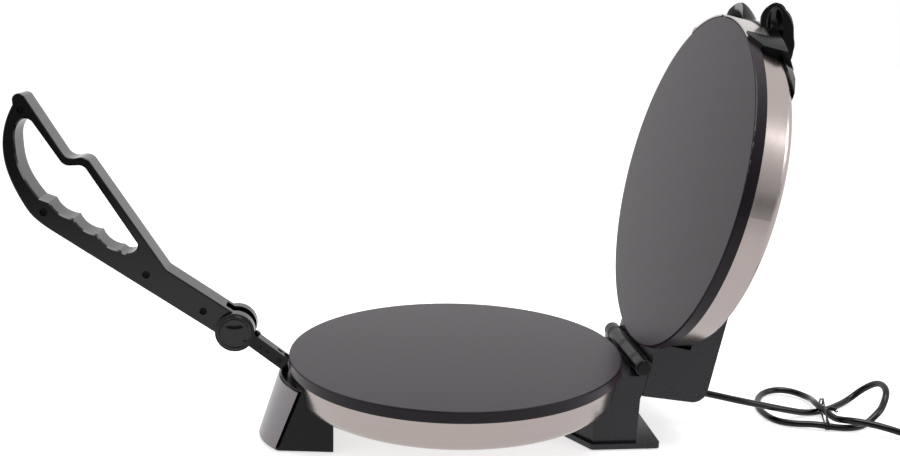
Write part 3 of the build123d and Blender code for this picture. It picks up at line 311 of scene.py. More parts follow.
# Stainless steel sheet, spun and satin polished: fine rings about the axis, warm grey, soft reflections.
# Polishing lines are about 0.1 mm apart, drawn nine times coarser so that they show.
SPUN_STAINLESS = Finish("spun_satin_stainless_steel", "#b5aaa7", "#a99e9a", 0.24, 0.03, metallic=1.0,
                        grain=Grain.ROUND, grain_size=0.0009, relief=0.0000015, cloud_size=0.12)
# Cast aluminium with a sprayed and baked PTFE coat: warm dark grey, satin, a fine orange-peel speckle.
BAKED_PTFE = Finish("baked_ptfe_on_aluminium", "#110b11", "#1a121a", 0.32, 0.03, ior=1.33,
                    grain_size=0.0014, relief=0.000006, cloud_size=0.09, sheen=0.12, sheen_tint="#b48aae")
# Glass-filled phenolic, moulded in polished steel: black, glossy, faintly wavy.
MOULDED_PHENOLIC = Finish("gloss_moulded_phenolic", "#070608", "#0c0b0d", 0.12, 0.03, ior=1.58, specular=0.36,
                          grain_size=0.002, relief=0.000006, cloud_size=0.03)
# The same moulding, polished, for the handle: black, with clear reflections.
POLISHED_PHENOLIC = Finish("polished_moulded_phenolic", "#050405", "#080809", 0.1, 0.02, ior=1.6,
                           specular=0.34, grain_size=0.002, relief=0.000001, cloud_size=0.03)
# The same in a dulled mould, for the bracket round the latch: black, with little shine.
DULLED_PHENOLIC = Finish("dulled_moulded_phenolic", "#050506", "#09090a", 0.2, 0.03, ior=1.5, specular=0.14,
                         grain_size=0.0015, relief=0.000003, cloud_size=0.03)
# Phenolic from a matt mould, for the hinge block and the rear foot: charcoal, satin.
SATIN_PHENOLIC = Finish("satin_moulded_phenolic", "#1b1a1f", "#232228", 0.28, 0.04, ior=1.55, specular=0.34,
                        grain_size=0.0012, relief=0.000002, cloud_size=0.04)
# Polypropylene feet from a spark-eroded mould: black, satin. The even grain is about 0.3 mm, drawn three
# times coarser so that it shows.
MOULDED_FEET = Finish("grained_moulded_polypropylene", "#070708", "#0d0d0f", 0.24, 0.04, ior=1.49,
                      specular=0.22, grain_size=0.0009, relief=0.000012, cloud_size=0.04)
# Pressed steel lever under baked enamel: black, glossy, with a slight orange peel.
ENAMELLED_STEEL = Finish("black_enamelled_steel", "#050506", "#09090a", 0.14, 0.03, ior=1.52, specular=0.2,
                         grain_size=0.0022, relief=0.000008, coat=0.1, coat_roughness=0.12)
# Steel sheet in silver lacquer with metal flake: mid grey, satin, nearly even.
SILVER_LACQUER = Finish("silver_lacquered_sheet", "#807b7f", "#736e72", 0.28, 0.04, metallic=0.85,
                        grain_size=0.0007, relief=0.0000015, coat=0.25, coat_roughness=0.2)
# Stainless strip as rolled: straight fine lines, bright satin.
ROLLED_STAINLESS = Finish("rolled_stainless_strip", "#c9c4c2", "#b9b3b0", 0.3, 0.05, metallic=1.0,
                          grain=Grain.ALONG_X, grain_size=0.0009, relief=0.000004)
# Aluminium sheet, mill finish: pale, slightly streaked.
MILL_ALUMINIUM = Finish("mill_finish_aluminium", "#d5d6d8", "#c2c3c6", 0.38, 0.06, metallic=1.0,
                        grain=Grain.ALONG_X, grain_size=0.0012, relief=0.000005)
# Heater tube of nickel alloy after heating: blue-grey going to straw.
HEATED_ALLOY = Finish("heat_tinted_nickel_alloy", "#6c6d78", "#9b8560", 0.45, 0.08, metallic=1.0,
                      grain_size=0.003, relief=0.00001, cloud_size=0.03)
# Steatite, fired: off-white, dry, faintly speckled.
FIRED_STEATITE = Finish("fired_steatite", "#d9d2c3", "#c4bbaa", 0.6, 0.08, ior=1.56, grain_size=0.0012,
                        relief=0.00002)
# Steel screws, bright zinc plated and passivated: grey with a faint blue.
ZINC_PLATE = Finish("zinc_plated_steel", "#b4b8bd", "#9fa3aa", 0.3, 0.08, metallic=1.0, grain_size=0.0008,
                    relief=0.000006)
# Steel screws blackened by phosphate and oil: near black, half glossy.
PHOSPHATED_STEEL = Finish("phosphated_steel", "#060606", "#0c0c0d", 0.32, 0.08, ior=1.6, specular=0.15,
                          grain_size=0.0008, relief=0.00001)
# Pins of ground steel, nickel plated: bright, with short fine lines.
GROUND_NICKEL = Finish("ground_nickel_plated_steel", "#c8c4bd", "#b3afa8", 0.18, 0.05, metallic=1.0,
                       grain=Grain.ALONG_X, grain_size=0.0006, grain_stretch=3.0, relief=0.000003)
# Drawn spring wire, oiled.
SPRING_WIRE = Finish("drawn_spring_wire", "#a6a7aa", "#86878b", 0.28, 0.06, metallic=1.0, grain_size=0.0006,
                     relief=0.000004)
# Silicone gasket, extruded: dark grey, dull.
SILICONE_GASKET = Finish("extruded_silicone", "#1d1c1d", "#2a292a", 0.62, 0.06, ior=1.42, grain_size=0.001,
                         relief=0.00002)
# Rubber feet, moulded: black, dull, a little dusty.
MOULDED_RUBBER = Finish("moulded_rubber", "#1b1b1b", "#2c2b2a", 0.75, 0.06, ior=1.52, grain_size=0.0008,
                        relief=0.00003)
# Soft PVC lead, extruded: black, satin gloss, slightly uneven along its length.
EXTRUDED_PVC = Finish("extruded_pvc", "#060606", "#0b0b0c", 0.16, 0.04, ior=1.53, specular=0.3,
                      grain_size=0.0025, relief=0.00002, cloud_size=0.03)
# Plug moulded on the lead in PVC: black, satin, fine mould grain.
MOULDED_PVC = Finish("moulded_pvc", "#171718", "#232324", 0.4, 0.06, ior=1.53, grain_size=0.0008,
                     relief=0.00002)
# Blades of brass, pressed and nickel washed: pale yellow, bright.
PRESSED_BRASS = Finish("pressed_brass", "#d3bd84", "#c0a768", 0.25, 0.06, metallic=1.0, grain=Grain.ALONG_X,
                       grain_size=0.0008, relief=0.000004)
# Clear lamp covers of polycarbonate, tinted: glossy, partly see-through.
RED_LENS = Finish("red_tinted_polycarbonate", "#a41612", "#c0231a", 0.1, 0.03, ior=1.585, transmission=0.5,
                  grain_size=0.0012, relief=0.00001)
GREEN_LENS = Finish("green_tinted_polycarbonate", "#1b8a35", "#249c40", 0.1, 0.03, ior=1.585,
                    transmission=0.5, grain_size=0.0012, relief=0.00001)


# ------------------------------------------------------------------ surfaces
def grid_faces(rows: int, columns: int) -> np.ndarray:
    """Quads of a grid whose columns close on themselves.

    Args:
        rows: Points along the surface.
        columns: Points round it.

    Returns:
        Corner numbers, four to a face, turning the same way.
    """
    row, column = np.meshgrid(np.arange(rows - 1), np.arange(columns), indexing="ij")
    here = row * columns + column
    beside = row * columns + (column + 1) % columns
    return np.stack([here, beside, beside + columns, here + columns], axis=-1).reshape(-1, 4)


def closed_tube(rings: np.ndarray) -> tuple[np.ndarray, list[list[int]]]:
    """Close a stack of rings with a fan to the middle of the first and the last ring.

    Args:
        rings: Points, rows by columns by 3; each row is one ring.

    Returns:
        All points, and the faces' corner numbers.
    """
    rows, columns, _ = rings.shape
    middles = [rings[0].mean(0, keepdims=True), rings[-1].mean(0, keepdims=True)]
    points = np.concatenate([rings.reshape(-1, 3)] + middles)
    step = np.arange(columns)
    first = np.stack([np.full(columns, rows * columns), (step + 1) % columns, step], axis=-1)
    last_row = (rows - 1) * columns
    last = np.stack([np.full(columns, rows * columns + 1), last_row + step, last_row + (step + 1) % columns],
                    axis=-1)
    return points, grid_faces(rows, columns).tolist() + first.tolist() + last.tolist()


def merged(parts: Sequence[tuple[np.ndarray, list[list[int]]]]) -> tuple[np.ndarray, list[list[int]]]:
    """Join several point and face sets into one.

    Args:
        parts: Points and faces of each.

    Returns:
        All points, and the faces' corner numbers.
    """
    start, points, faces = 0, [], []
    for some, corners in parts:
        points.append(some)
        faces.extend([[c + start for c in face] for face in corners])
        start += len(some)
    return np.concatenate(points), faces


def mesh_piece(name: str, points: np.ndarray, faces: list[list[int]],
               sharp: float = 35.0) -> bpy.types.Object:
    """Make a smooth-shaded mesh object at the origin, its faces pointing outwards.

    Args:
        name: The piece's name.
        points: Its points in metres.
        faces: Corner numbers of its faces.
        sharp: Edges that turn more than this, in degrees, stay sharp.

    Returns:
        The object, linked to the scene.
    """
    mesh = bpy.data.meshes.new(name)
    mesh.from_pydata(points.tolist(), [], faces)
    mesh.polygons.foreach_set("use_smooth", np.ones(len(mesh.polygons), dtype=bool))
    work = bmesh.new()
    work.from_mesh(mesh)
    bmesh.ops.recalc_face_normals(work, faces=work.faces)
    work.to_mesh(mesh)
    work.free()
    mesh.set_sharp_from_angle(angle=math.radians(sharp))
    return linked(name, mesh)


def linked(name: str, data: bpy.types.ID) -> bpy.types.Object:
    """Make an object of a mesh, curve, light or camera and link it to the scene.

    Args:
        name: The object's name.
        data: What it shows.

    Returns:
        The object.
    """
    shown = bpy.data.objects.new(name, data)
    bpy.context.scene.collection.objects.link(shown)
    return shown


def bell(value: np.ndarray, middle: float, width: float) -> np.ndarray:
    """Bell curve: the exponential of minus the square of the distance from the middle over the width."""
    return np.exp(-((value - middle) / width) ** 2)


def fall(value: np.ndarray, edge: float, softness: float) -> np.ndarray:
    """Smooth fall from 1 to 0: one over one plus the exponential of the way past an edge over a softness."""
    return 1 / (1 + np.exp((value - edge) / softness))


def superellipse(angle: np.ndarray, power: np.ndarray | float) -> tuple[np.ndarray, np.ndarray]:
    """Cosine and sine of an angle, each with its size raised to a power below 1, which squares the round."""
    c, s = np.cos(angle), np.sin(angle)
    return np.sign(c) * np.abs(c) ** power, np.sign(s) * np.abs(s) ** power


# No piece's path runs along this direction, so its cross product with the path is never nothing.
SECTION_HELPER = (0.03, 1.0, 0.02)


def carried_tube(path: np.ndarray, radius: np.ndarray | float, sides: int = 12, closed: bool = False
                 ) -> tuple[np.ndarray, list[list[int]]]:
    """Round section carried along a path.

    Each ring lies across the path's direction there, turned by the direction's cross product
    with a fixed helper axis, and is scaled by the radius at that point.

    Args:
        path: Points along the middle, rows by 3.
        radius: One radius, or one for each point.
        sides: Points round the section.
        closed: True when the last point joins the first.

    Returns:
        Points and faces.
    """
    ahead = np.roll(path, -1, 0) - np.roll(path, 1, 0)
    if not closed:
        ahead[0], ahead[-1] = path[1] - path[0], path[-1] - path[-2]
    ahead /= np.linalg.norm(ahead, axis=1, keepdims=True)
    side = np.cross(ahead, SECTION_HELPER)
    side /= np.linalg.norm(side, axis=1, keepdims=True)
    up = np.cross(side, ahead)
    turn = np.linspace(0, TURN, sides, endpoint=False)
    reach = np.broadcast_to(np.asarray(radius, dtype=float), (len(path),))[:, None, None]
    rings = path[:, None, :] + reach * (np.cos(turn)[None, :, None] * side[:, None, :]
                                        + np.sin(turn)[None, :, None] * up[:, None, :])
    if not closed:
        return closed_tube(rings)
    rows = len(path)
    joined = grid_faces(rows + 1, sides) % (rows * sides)
    return rings.reshape(-1, 3), joined.tolist()


def closed_curve(points: Sequence[tuple[float, float]], count: int) -> np.ndarray:
    """Smooth closed curve through points: a Catmull-Rom cubic on each span.

    Each point is the sum of the four nearest given points, weighted by the cubic's four polynomials of the
    distance along the span.

    Args:
        points: Points in order, the last joined to the first.
        count: Points of the curve.

    Returns:
        Points, count by 2.
    """
    given = np.array(points, dtype=float)
    along = np.linspace(0, len(given), count, endpoint=False)
    span = np.floor(along).astype(int)
    t = (along - span)[:, None]
    p0, p1, p2, p3 = (given[(span + k) % len(given)] for k in (-1, 0, 1, 2))
    bend, twist = 2 * p0 - 5 * p1 + 4 * p2 - p3, 3 * p1 - p0 - 3 * p2 + p3
    return 0.5 * (2 * p1 + (p2 - p0) * t + bend * t ** 2 + twist * t ** 3)


def opened(points: np.ndarray) -> np.ndarray:
    """Turn points of the shut lid to where the open lid has them: a turn about the hinge.

    Args:
        points: In millimetres, from the plates' axis and above the lower cooking face.

    Returns:
        The points in metres, in the part's frame.
    """
    c, s = math.cos(-OPEN_ANGLE), math.sin(-OPEN_ANGLE)
    y, z = points[..., 1] - (HINGE_POINT[1] / MM - PLATES_Y / MM), points[..., 2] - HINGE_RISE
    turned = np.stack([points[..., 0], y * c - z * s, y * s + z * c], axis=-1) * MM
    return turned + np.array([0.0, HINGE_POINT[1], HINGE_POINT[2]])


def turned_about_x(along: np.ndarray, radius: np.ndarray, centre: tuple, sides: int = 72) -> np.ndarray:
    """Rings of a surface of revolution about the X direction.

    Args:
        along: X of each ring, in millimetres.
        radius: Its radius, in millimetres.
        centre: The axis' y and z, in millimetres.
        sides: Points round it.

    Returns:
        Points in millimetres, rings by sides by 3.
    """
    turn = np.linspace(0, TURN, sides, endpoint=False)
    x = np.broadcast_to(along[:, None], (len(along), sides))
    y = centre[0] + radius[:, None] * np.cos(turn)
    return np.stack([x, y, centre[1] + radius[:, None] * np.sin(turn)], axis=-1)


def dress(finish: Finish, *nodes: str, place: Placement = HERE) -> None:
    """Give carried-over CAD nodes their finish.

    Args:
        finish: What they are made of.
        nodes: Their names.
        place: Axes that the texture follows.
    """
    for name in nodes:
        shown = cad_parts[name]
        shown.data.materials.clear()
        shown.data.materials.append(finish.material(place))
        log.info("%s: %s", name, finish.name)


def settle(piece: bpy.types.Object, body: str, slot: Slot, finish: Finish,
           *stands_for: str) -> bpy.types.Object:
    """Finish a new piece.

    Args:
        piece: The piece.
        body: Body that it rides on.
        slot: The record's slot for its material; not used.
        finish: What it is made of.
        stands_for: CAD nodes that it replaces.

    Returns:
        The piece.
    """
    piece.data.materials.append(finish.material())
    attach(piece, body)
    if stands_for:
        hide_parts(*stands_for)
    log.info("%s: new piece, %s", piece.name, finish.name)
    return piece


# ------------------------------------------------------------------ screws
@dataclass(frozen=True)
class CrossHead:
    """Round screw head with a cross recess, as a height over a disc, and its shank.

    Attributes:
        head: Radius of the head.
        rise: Height of the head.
        dome: How much higher its middle is than its rim.
        shank: Radius of the shank.
        length: Length of the shank below the head.
        slot: Half width of the recess's arms.
        deep: Depth of the recess.
        arm_end: How far out the recess's arms reach, against the head's radius.
        soft: Softness of the recess's sides against the arms' half width, and of its ends against the
            head's radius.
        rim: Height at which the head's side meets its top, against its rise.
    """

    head: float
    rise: float
    dome: float
    shank: float
    length: float
    slot: float
    deep: float
    arm_end: float = 0.58
    soft: tuple = (0.12, 0.05)
    rim: float = 0.6

    def surface(self, place: Matrix) -> tuple[np.ndarray, list[list[int]]]:
        """Points and faces of one screw.

        The top is rise + dome * (1 - (r / head) squared), less the recess. The recess's depth falls off
        smoothly where the smaller of |x| and |y| passes the arms' half width, and towards the arms' ends.

        Args:
            place: Brings the head's outward direction, +Z, to where it points.

        Returns:
            Points and faces.
        """
        turn = np.linspace(0, TURN, 48, endpoint=False)
        radius = np.linspace(0.03, 1.0, 14)[:, None] * self.head
        x, y = radius * np.cos(turn), radius * np.sin(turn)
        arms = fall(np.minimum(np.abs(x), np.abs(y)), self.slot, self.soft[0] * self.slot)
        ends = fall(np.maximum(np.abs(x), np.abs(y)), self.arm_end * self.head, self.soft[1] * self.head)
        top = self.rise + self.dome * (1 - (radius / self.head) ** 2) - self.deep * arms * ends
        cap = np.stack([x, y, top], axis=-1)
        sides = [(self.head, self.rim * self.rise), (self.head, 0.0), (self.shank, 0.0),
                 (self.shank, -self.length), (0.5 * self.shank, -self.length - self.shank)]
        walls = np.stack([np.stack([r * np.cos(turn), r * np.sin(turn), np.full_like(turn, z)], axis=-1)
                          for r, z in sides])
        points, faces = closed_tube(np.concatenate([cap, walls]))
        moved = np.c_[points, np.ones(len(points))] @ np.array(place).T
        return moved[:, :3], faces


@dataclass
class ScrewSets:
    """All cross-head screws, one mesh to a set.

    Attributes:
        handle_at: Middle of each handle screw, y and z.
        handle_out: How far the outer end of a handle screw's head stands from the middle plane.
        handle_head: From there to the underside of its head.
        foot_at: Foot screws, x and y.
        foot_low: Height of the undersides of their heads.
        stop_turn: Angle in radians that a handle screw's recess has at Y 0, and its change over a metre.
    """

    handle_at: tuple = ((-0.31355, 0.29253), (-0.30065, 0.20673), (-0.21875, 0.15193), (-0.17175, 0.11893))
    handle_out: float = 0.0115
    handle_head: float = 0.0016
    foot_at: tuple = ((-0.034, -0.071), (0.034, -0.071), (-0.034, 0.173), (0.034, 0.173))
    foot_low: float = 0.0362
    stop_turn: tuple = (0.4, 40.0)

    def handle_screws(self) -> bpy.types.Object:
        """Screws from both sides of the handle, deep in their bores, each turned to an angle of its own.

        Returns:
            The piece.
        """
        seat = self.handle_out - self.handle_head
        kind = CrossHead(head=0.0031, rise=0.0014, dome=0.0002, shank=0.0015, length=seat, slot=0.00055,
                         deep=0.0009)
        parts = []
        for y, z in self.handle_at:
            angle = self.stop_turn[0] + y * self.stop_turn[1]
            for side in (-1, 1):
                turned = Matrix.Rotation(side * math.pi / 2, 4, "Y") @ Matrix.Rotation(angle, 4, "Z")
                parts.append(kind.surface(Matrix.Translation((side * seat, y, z)) @ turned))
        piece = mesh_piece("cross_head_handle_screws", *merged(parts))
        return settle(piece, "handle", Slot.HANDLE_SCREW, PHOSPHATED_STEEL, "handle_screws")

    def foot_screws(self) -> bpy.types.Object:
        """Screws that hold the feet to the housing's bottom, heads down.

        Returns:
            The piece.
        """
        kind = CrossHead(head=0.0036, rise=0.0016, dome=0.0004, shank=0.0018, length=0.0044, slot=0.0006,
                         deep=0.0012)
        flip = Matrix.Rotation(math.pi, 4, "X")
        parts = [kind.surface(Matrix.Translation((x, y, self.foot_low)) @ flip) for x, y in self.foot_at]
        piece = mesh_piece("cross_head_foot_screws", *merged(parts))
        return settle(piece, "base", Slot.SCREW, ZINC_PLATE, "foot_screws")

    def build(self) -> None:
        """Make every set."""
        self.handle_screws()
        self.foot_screws()


# ------------------------------------------------------------------ heated halves
@dataclass
class HeatedHalf:
    """Plate, housing and heater of one half.

    Attributes:
        prefix: First word of its nodes' names.
        place: Axes that its turned textures follow.
    """

    prefix: str
    place: Placement

    def build(self) -> None:
        """Dress the half's nodes."""
        p = self.prefix
        dress(BAKED_PTFE, p + "_plate", place=self.place)
        dress(SPUN_STAINLESS, p + "_housing", place=self.place)
        dress(SILICONE_GASKET, p + "_gasket")
        dress(MILL_ALUMINIUM, p + "_reflector")
        dress(HEATED_ALLOY, p + "_heating_element")
        dress(ROLLED_STAINLESS, p + "_element_clamps")
        dress(FIRED_STEATITE, p + "_thermostat")
        dress(ZINC_PLATE, p + "_plate_screws")


# ------------------------------------------------------------------ hinge and feet
@dataclass(frozen=True)
class Knuckle:
    """Turned sleeve of the hinge barrel between two places along X. Sizes are in millimetres.

    Attributes:
        name: The piece's name.
        start: X where it starts.
        end: X where it ends.
        body: Body that carries it.
        radius: Its outside radius.
        face: Radii of its end faces, at the pin and at the edge.
        edge: Radius of the quarter round at both ends.
        groove: Depth of the groove near each end, its distance from the end and its width.
    """

    name: str
    start: float
    end: float
    body: str
    radius: float = 7.65
    face: tuple = (3.4, 6.4)
    edge: float = 0.9
    groove: tuple = (0.35, 2.6, 0.5)

    def build(self) -> bpy.types.Object:
        """Make the sleeve: its radius less a quarter round at both ends and a bell curve for each groove.

        Returns:
            The piece.
        """
        x = np.linspace(self.start, self.end, 150)
        from_end = np.minimum(x - self.start, self.end - x)
        shoulder = np.clip(1 - from_end / self.edge, 0, 1)
        deep, place, width = self.groove
        rounding = self.edge * (1 - np.sqrt(1 - shoulder ** 2))
        radius = self.radius - rounding - deep * bell(from_end, place, width)
        along = np.concatenate([[self.start] * 2, x, [self.end] * 2])
        rings = turned_about_x(along, np.concatenate([self.face, radius, self.face[::-1]]),
                               (HINGE_POINT[1] / MM, HINGE_POINT[2] / MM))
        piece = mesh_piece(self.name, *closed_tube(rings * MM), sharp=50)
        return settle(piece, self.body, Slot.PHENOLIC, MOULDED_FEET)


@dataclass
class Base:
    """Feet, hinge pin and inner pieces that stand still.

    Attributes:
        knuckles: Name, start and end of the rear foot's hinge knuckles, in millimetres along X.
    """

    knuckles: tuple = (("far_base_knuckle", -55.9, -40.6), ("near_base_knuckle", 0.3, 37.4))

    def build(self) -> None:
        """Dress the base's nodes and make its knuckles."""
        dress(FIRED_STEATITE, "lower_thermal_fuse", "terminal_block")
        dress(SATIN_PHENOLIC, "rear_foot")
        dress(MOULDED_FEET, "front_foot", "hinge_cap_far", "hinge_cap_near")
        dress(MOULDED_RUBBER, "rear_foot_pads", "front_foot_pads")
        dress(SILVER_LACQUER, "front_foot_cover")
        dress(GROUND_NICKEL, "hinge_pin")
        dress(PHOSPHATED_STEEL, "lever_pivot_pin")
        for name, start, end in self.knuckles:
            Knuckle(name, start, end, "base").build()


@dataclass
class LidFittings:
    """Hinge block, latch bracket, wear strip and lamp covers on the lid. Sizes are in millimetres.

    Attributes:
        knuckles: Name, start and end of the lid's hinge knuckles along X.
        front: The plates' radius.
        ear_outline: An ear's side outline with the lid shut, behind the plates' front edge and above
            their face.
        ear_focus: Point that the outline is drawn in towards.
        ear_span: X of the ear's inner and outer side.
        ear_shrink: Size of the inner side's outline against the outer's.
        ear_bulge: How far the wall between them swells, against the outline's size.
        ear_round: Radius of the outer edge.
        ear_draw: How much the outline shrinks over that edge.
        scoop_height: Height of the middle of the hollow in the outer side; it lies at the plates' front edge.
        scoop_lean: Degrees that the hollow's length rises towards the back.
        scoop_half: Half length and half width of the hollow.
        scoop_depth: Its depth.
    """

    knuckles: tuple = (("near_lid_knuckle", 38.2, 55.9), ("far_lid_knuckle", -39.8, -0.6))
    front: float = 150.0
    ear_outline: tuple = ((10, 22.0), (1, 19.4), (-6, 18.1), (-13.7, 21.3), (-18.9, 28.5), (-15.4, 37.5),
                          (-6.9, 46.6), (3.3, 50.7), (16, 54.3), (38, 47.3), (38, 40), (22, 34))
    ear_focus: tuple = (20.0, 38.0)
    ear_span: tuple = (29.6, 41.4)
    ear_shrink: float = 0.62
    ear_bulge: float = 0.03
    ear_round: float = 1.6
    ear_draw: float = 0.07
    scoop_height: float = 32.5
    scoop_lean: float = 18.4
    scoop_half: tuple = (16.0, 7.4)
    scoop_depth: float = 4.9

    def build(self) -> None:
        """Dress the lid's fittings and make its ears and knuckles."""
        dress(SATIN_PHENOLIC, "lid_hinge_block")
        dress(DULLED_PHENOLIC, "lid_front_bracket")
        dress(ROLLED_STAINLESS, "lid_wear_strip")
        for side, (name, start, end) in zip((1, -1), self.knuckles):
            self.ear(side)
            Knuckle(name, start, end, "lid").build()
        dress(ZINC_PLATE, "bracket_screws")
        dress(RED_LENS, "power_lens")
        dress(GREEN_LENS, "ready_lens")

    def ear(self, side: int) -> bpy.types.Object:
        """Moulded skin of one ear: its side outline carried across its thickness.

        The outline grows from the inner side to the outer one and bulges between them by a sine; its outer
        edge rounds over by a quarter circle. The outer side is hollowed by a leaf: one less the squares of
        the distances along and across it, below zero nothing.

        Args:
            side: 1 for the ear on the near side, -1 for its mirror image.

        Returns:
            The piece.
        """
        outline = closed_curve(self.ear_outline, 120) - self.ear_focus
        inside, outside = self.ear_span
        wall_end = outside - self.ear_round
        face = np.linspace(0.02, 1, 22)
        over = np.linspace(0, math.pi / 2, 7)[1:]
        across = np.linspace(0, 1, 14)
        grown = self.ear_shrink + (1 - self.ear_shrink) * across + self.ear_bulge * np.sin(math.pi * across)
        inner = np.stack([inside + 0 * face, self.ear_shrink * face], axis=-1)
        wall = np.stack([inside + across * (wall_end - inside), grown], axis=-1)
        edge = np.stack([wall_end + self.ear_round * np.sin(over), 1 - self.ear_draw * (1 - np.cos(over))],
                        axis=-1)
        outer = np.stack([outside + 0 * face, (1 - self.ear_draw) * face[::-1]], axis=-1)[1:]
        rings = np.concatenate([inner, wall[1:], edge, outer])
        x = np.broadcast_to(rings[:, :1], (len(rings), len(outline)))
        yz = self.ear_focus + rings[:, 1][:, None, None] * outline
        is_outer = (np.arange(len(rings)) >= len(rings) - len(outer) - 2)[:, None]
        x = x - self.hollow(yz[..., 0], yz[..., 1] - self.scoop_height) * is_outer
        points = np.stack([side * x, yz[..., 0] - self.front, yz[..., 1]], axis=-1)
        name = "near_ear" if side > 0 else "far_ear"
        piece = mesh_piece(name, *closed_tube(opened(points)), sharp=50)
        return settle(piece, "lid", Slot.PHENOLIC, MOULDED_PHENOLIC)

    def hollow(self, away: np.ndarray, high: np.ndarray) -> np.ndarray:
        """Depth of the hollow in an ear's outer side.

        Args:
            away: Distance behind the hollow's middle.
            high: Height above it.

        Returns:
            The depth.
        """
        lean = math.radians(self.scoop_lean)
        along = (away * math.cos(lean) + high * math.sin(lean)) / self.scoop_half[0]
        beside = (high * math.cos(lean) - away * math.sin(lean)) / self.scoop_half[1]
        return self.scoop_depth * np.clip(1 - along ** 2 - beside ** 2, 0, None)


@dataclass
class Lever:
    """Press lever: two enamelled covers on a steel core, its rivets, bolt, spring and catch."""

    def build(self) -> None:
        """Dress the lever's nodes."""
        dress(ENAMELLED_STEEL, "lever_cover_near", "lever_cover_far", "lever_core")
        dress(PHOSPHATED_STEEL, "lever_rivets")
        dress(GROUND_NICKEL, "elbow_bolt")
        dress(SPRING_WIRE, "button_spring")
        dress(MOULDED_PHENOLIC, "release_button")


@dataclass
class Handle:
    """Folding handle: two moulded shells on a core, with round caps over the elbow. Sizes are in millimetres.

    Attributes:
        cap_radius: Radius of the near cap's face.
        cap_edge: Radius of its rolled edge.
        cap_out: X of its face, of the top of its edge and of its foot.
        rim: Height of the raised rim, its radius and its width.
        rim_groove: Depth of the groove inside the rim, its radius and its width.
        dimple_half: Half width and half height of the thumb dimple.
        dimple_up: Height of the dimple's middle above the elbow.
        dimple_deep: Its depth.
        dot_at: Place of the moulding dot from the elbow, y and z.
        dot: Height of the dot and its radius.
        bead_out: X of the beads round the cheeks.
        bead: Radius of a bead's circle and of its section.
    """

    cap_radius: float = 14.2
    cap_edge: float = 1.1
    cap_out: tuple = (18.1, 18.5, 17.0)
    rim: tuple = (0.45, 14.0, 0.55)
    rim_groove: tuple = (0.3, 12.8, 0.4)
    dimple_half: tuple = (6.4, 2.6)
    dimple_up: float = 6.9
    dimple_deep: float = 1.0
    dot_at: tuple = (8.3, -8.0)
    dot: tuple = (0.6, 1.0)
    bead_out: float = 16.75
    bead: tuple = (16.6, 0.6)

    def build(self) -> None:
        """Dress the handle's nodes and make the near cap and the beads."""
        dress(POLISHED_PHENOLIC, "handle_shell_near", "handle_shell_far", "handle_core", "elbow_cap_far")
        self.near_cap()
        self.ring(1)
        self.ring(-1)

    def near_cap(self) -> bpy.types.Object:
        """Round cap with a rolled edge, a raised rim and a thumb dimple above its middle.

        X of the face over the radius: a rim raised by a bell curve and a groove inside it, less a dimple
        that is the exponential of minus the fourth power of an oval's radius, with a small dot low on one
        side. The edge is a quarter circle.

        Returns:
            The piece.
        """
        over = np.linspace(0.1, math.pi / 2, 8)
        flat = np.linspace(0.01, self.cap_radius, 66)
        radius = np.concatenate([flat, self.cap_radius + self.cap_edge * np.sin(over)])
        turn = np.linspace(0, TURN, 96, endpoint=False)
        y, z = radius[:, None] * np.cos(turn), radius[:, None] * np.sin(turn)
        face_out, edge_out, foot_out = self.cap_out
        face = face_out + self.rim[0] * bell(radius, *self.rim[1:]) - self.rim_groove[0] * bell(
            radius, *self.rim_groove[1:])
        face[len(flat):] = edge_out - self.cap_edge * (1 - np.cos(over))
        oval = (y / self.dimple_half[0]) ** 2 + ((z - self.dimple_up) / self.dimple_half[1]) ** 2
        dot = ((y - self.dot_at[0]) ** 2 + (z - self.dot_at[1]) ** 2) / self.dot[1] ** 2
        x = face[:, None] - self.dimple_deep * np.exp(-oval ** 2) + self.dot[0] * np.exp(-dot)
        side = np.stack([np.full_like(y[:1], foot_out), y[-1:], z[-1:]], axis=-1)
        rings = np.concatenate([np.stack([x, y, z], axis=-1), side])
        rings += np.array([0.0, ELBOW_POINT[1] / MM, ELBOW_POINT[2] / MM])
        piece = mesh_piece("near_elbow_cap", *closed_tube(rings * MM), sharp=60)
        return settle(piece, "handle", Slot.PHENOLIC, MOULDED_PHENOLIC, "elbow_cap_near")

    def ring(self, side: int) -> bpy.types.Object:
        """Bead round the outer edge of one cheek: a circle about the elbow, carried by a small round section.

        Args:
            side: 1 for the near cheek, -1 for the far one.

        Returns:
            The piece.
        """
        circle, section = self.bead
        t = np.linspace(0, TURN, 120, endpoint=False)
        line = np.stack([np.full_like(t, side * self.bead_out), ELBOW_POINT[1] / MM + circle * np.cos(t),
                         ELBOW_POINT[2] / MM + circle * np.sin(t)], axis=-1) * MM
        name = "near_cheek_bead" if side > 0 else "far_cheek_bead"
        piece = mesh_piece(name, *carried_tube(line, section * MM, 10, closed=True), sharp=60)
        return settle(piece, "handle", Slot.PHENOLIC, MOULDED_PHENOLIC)


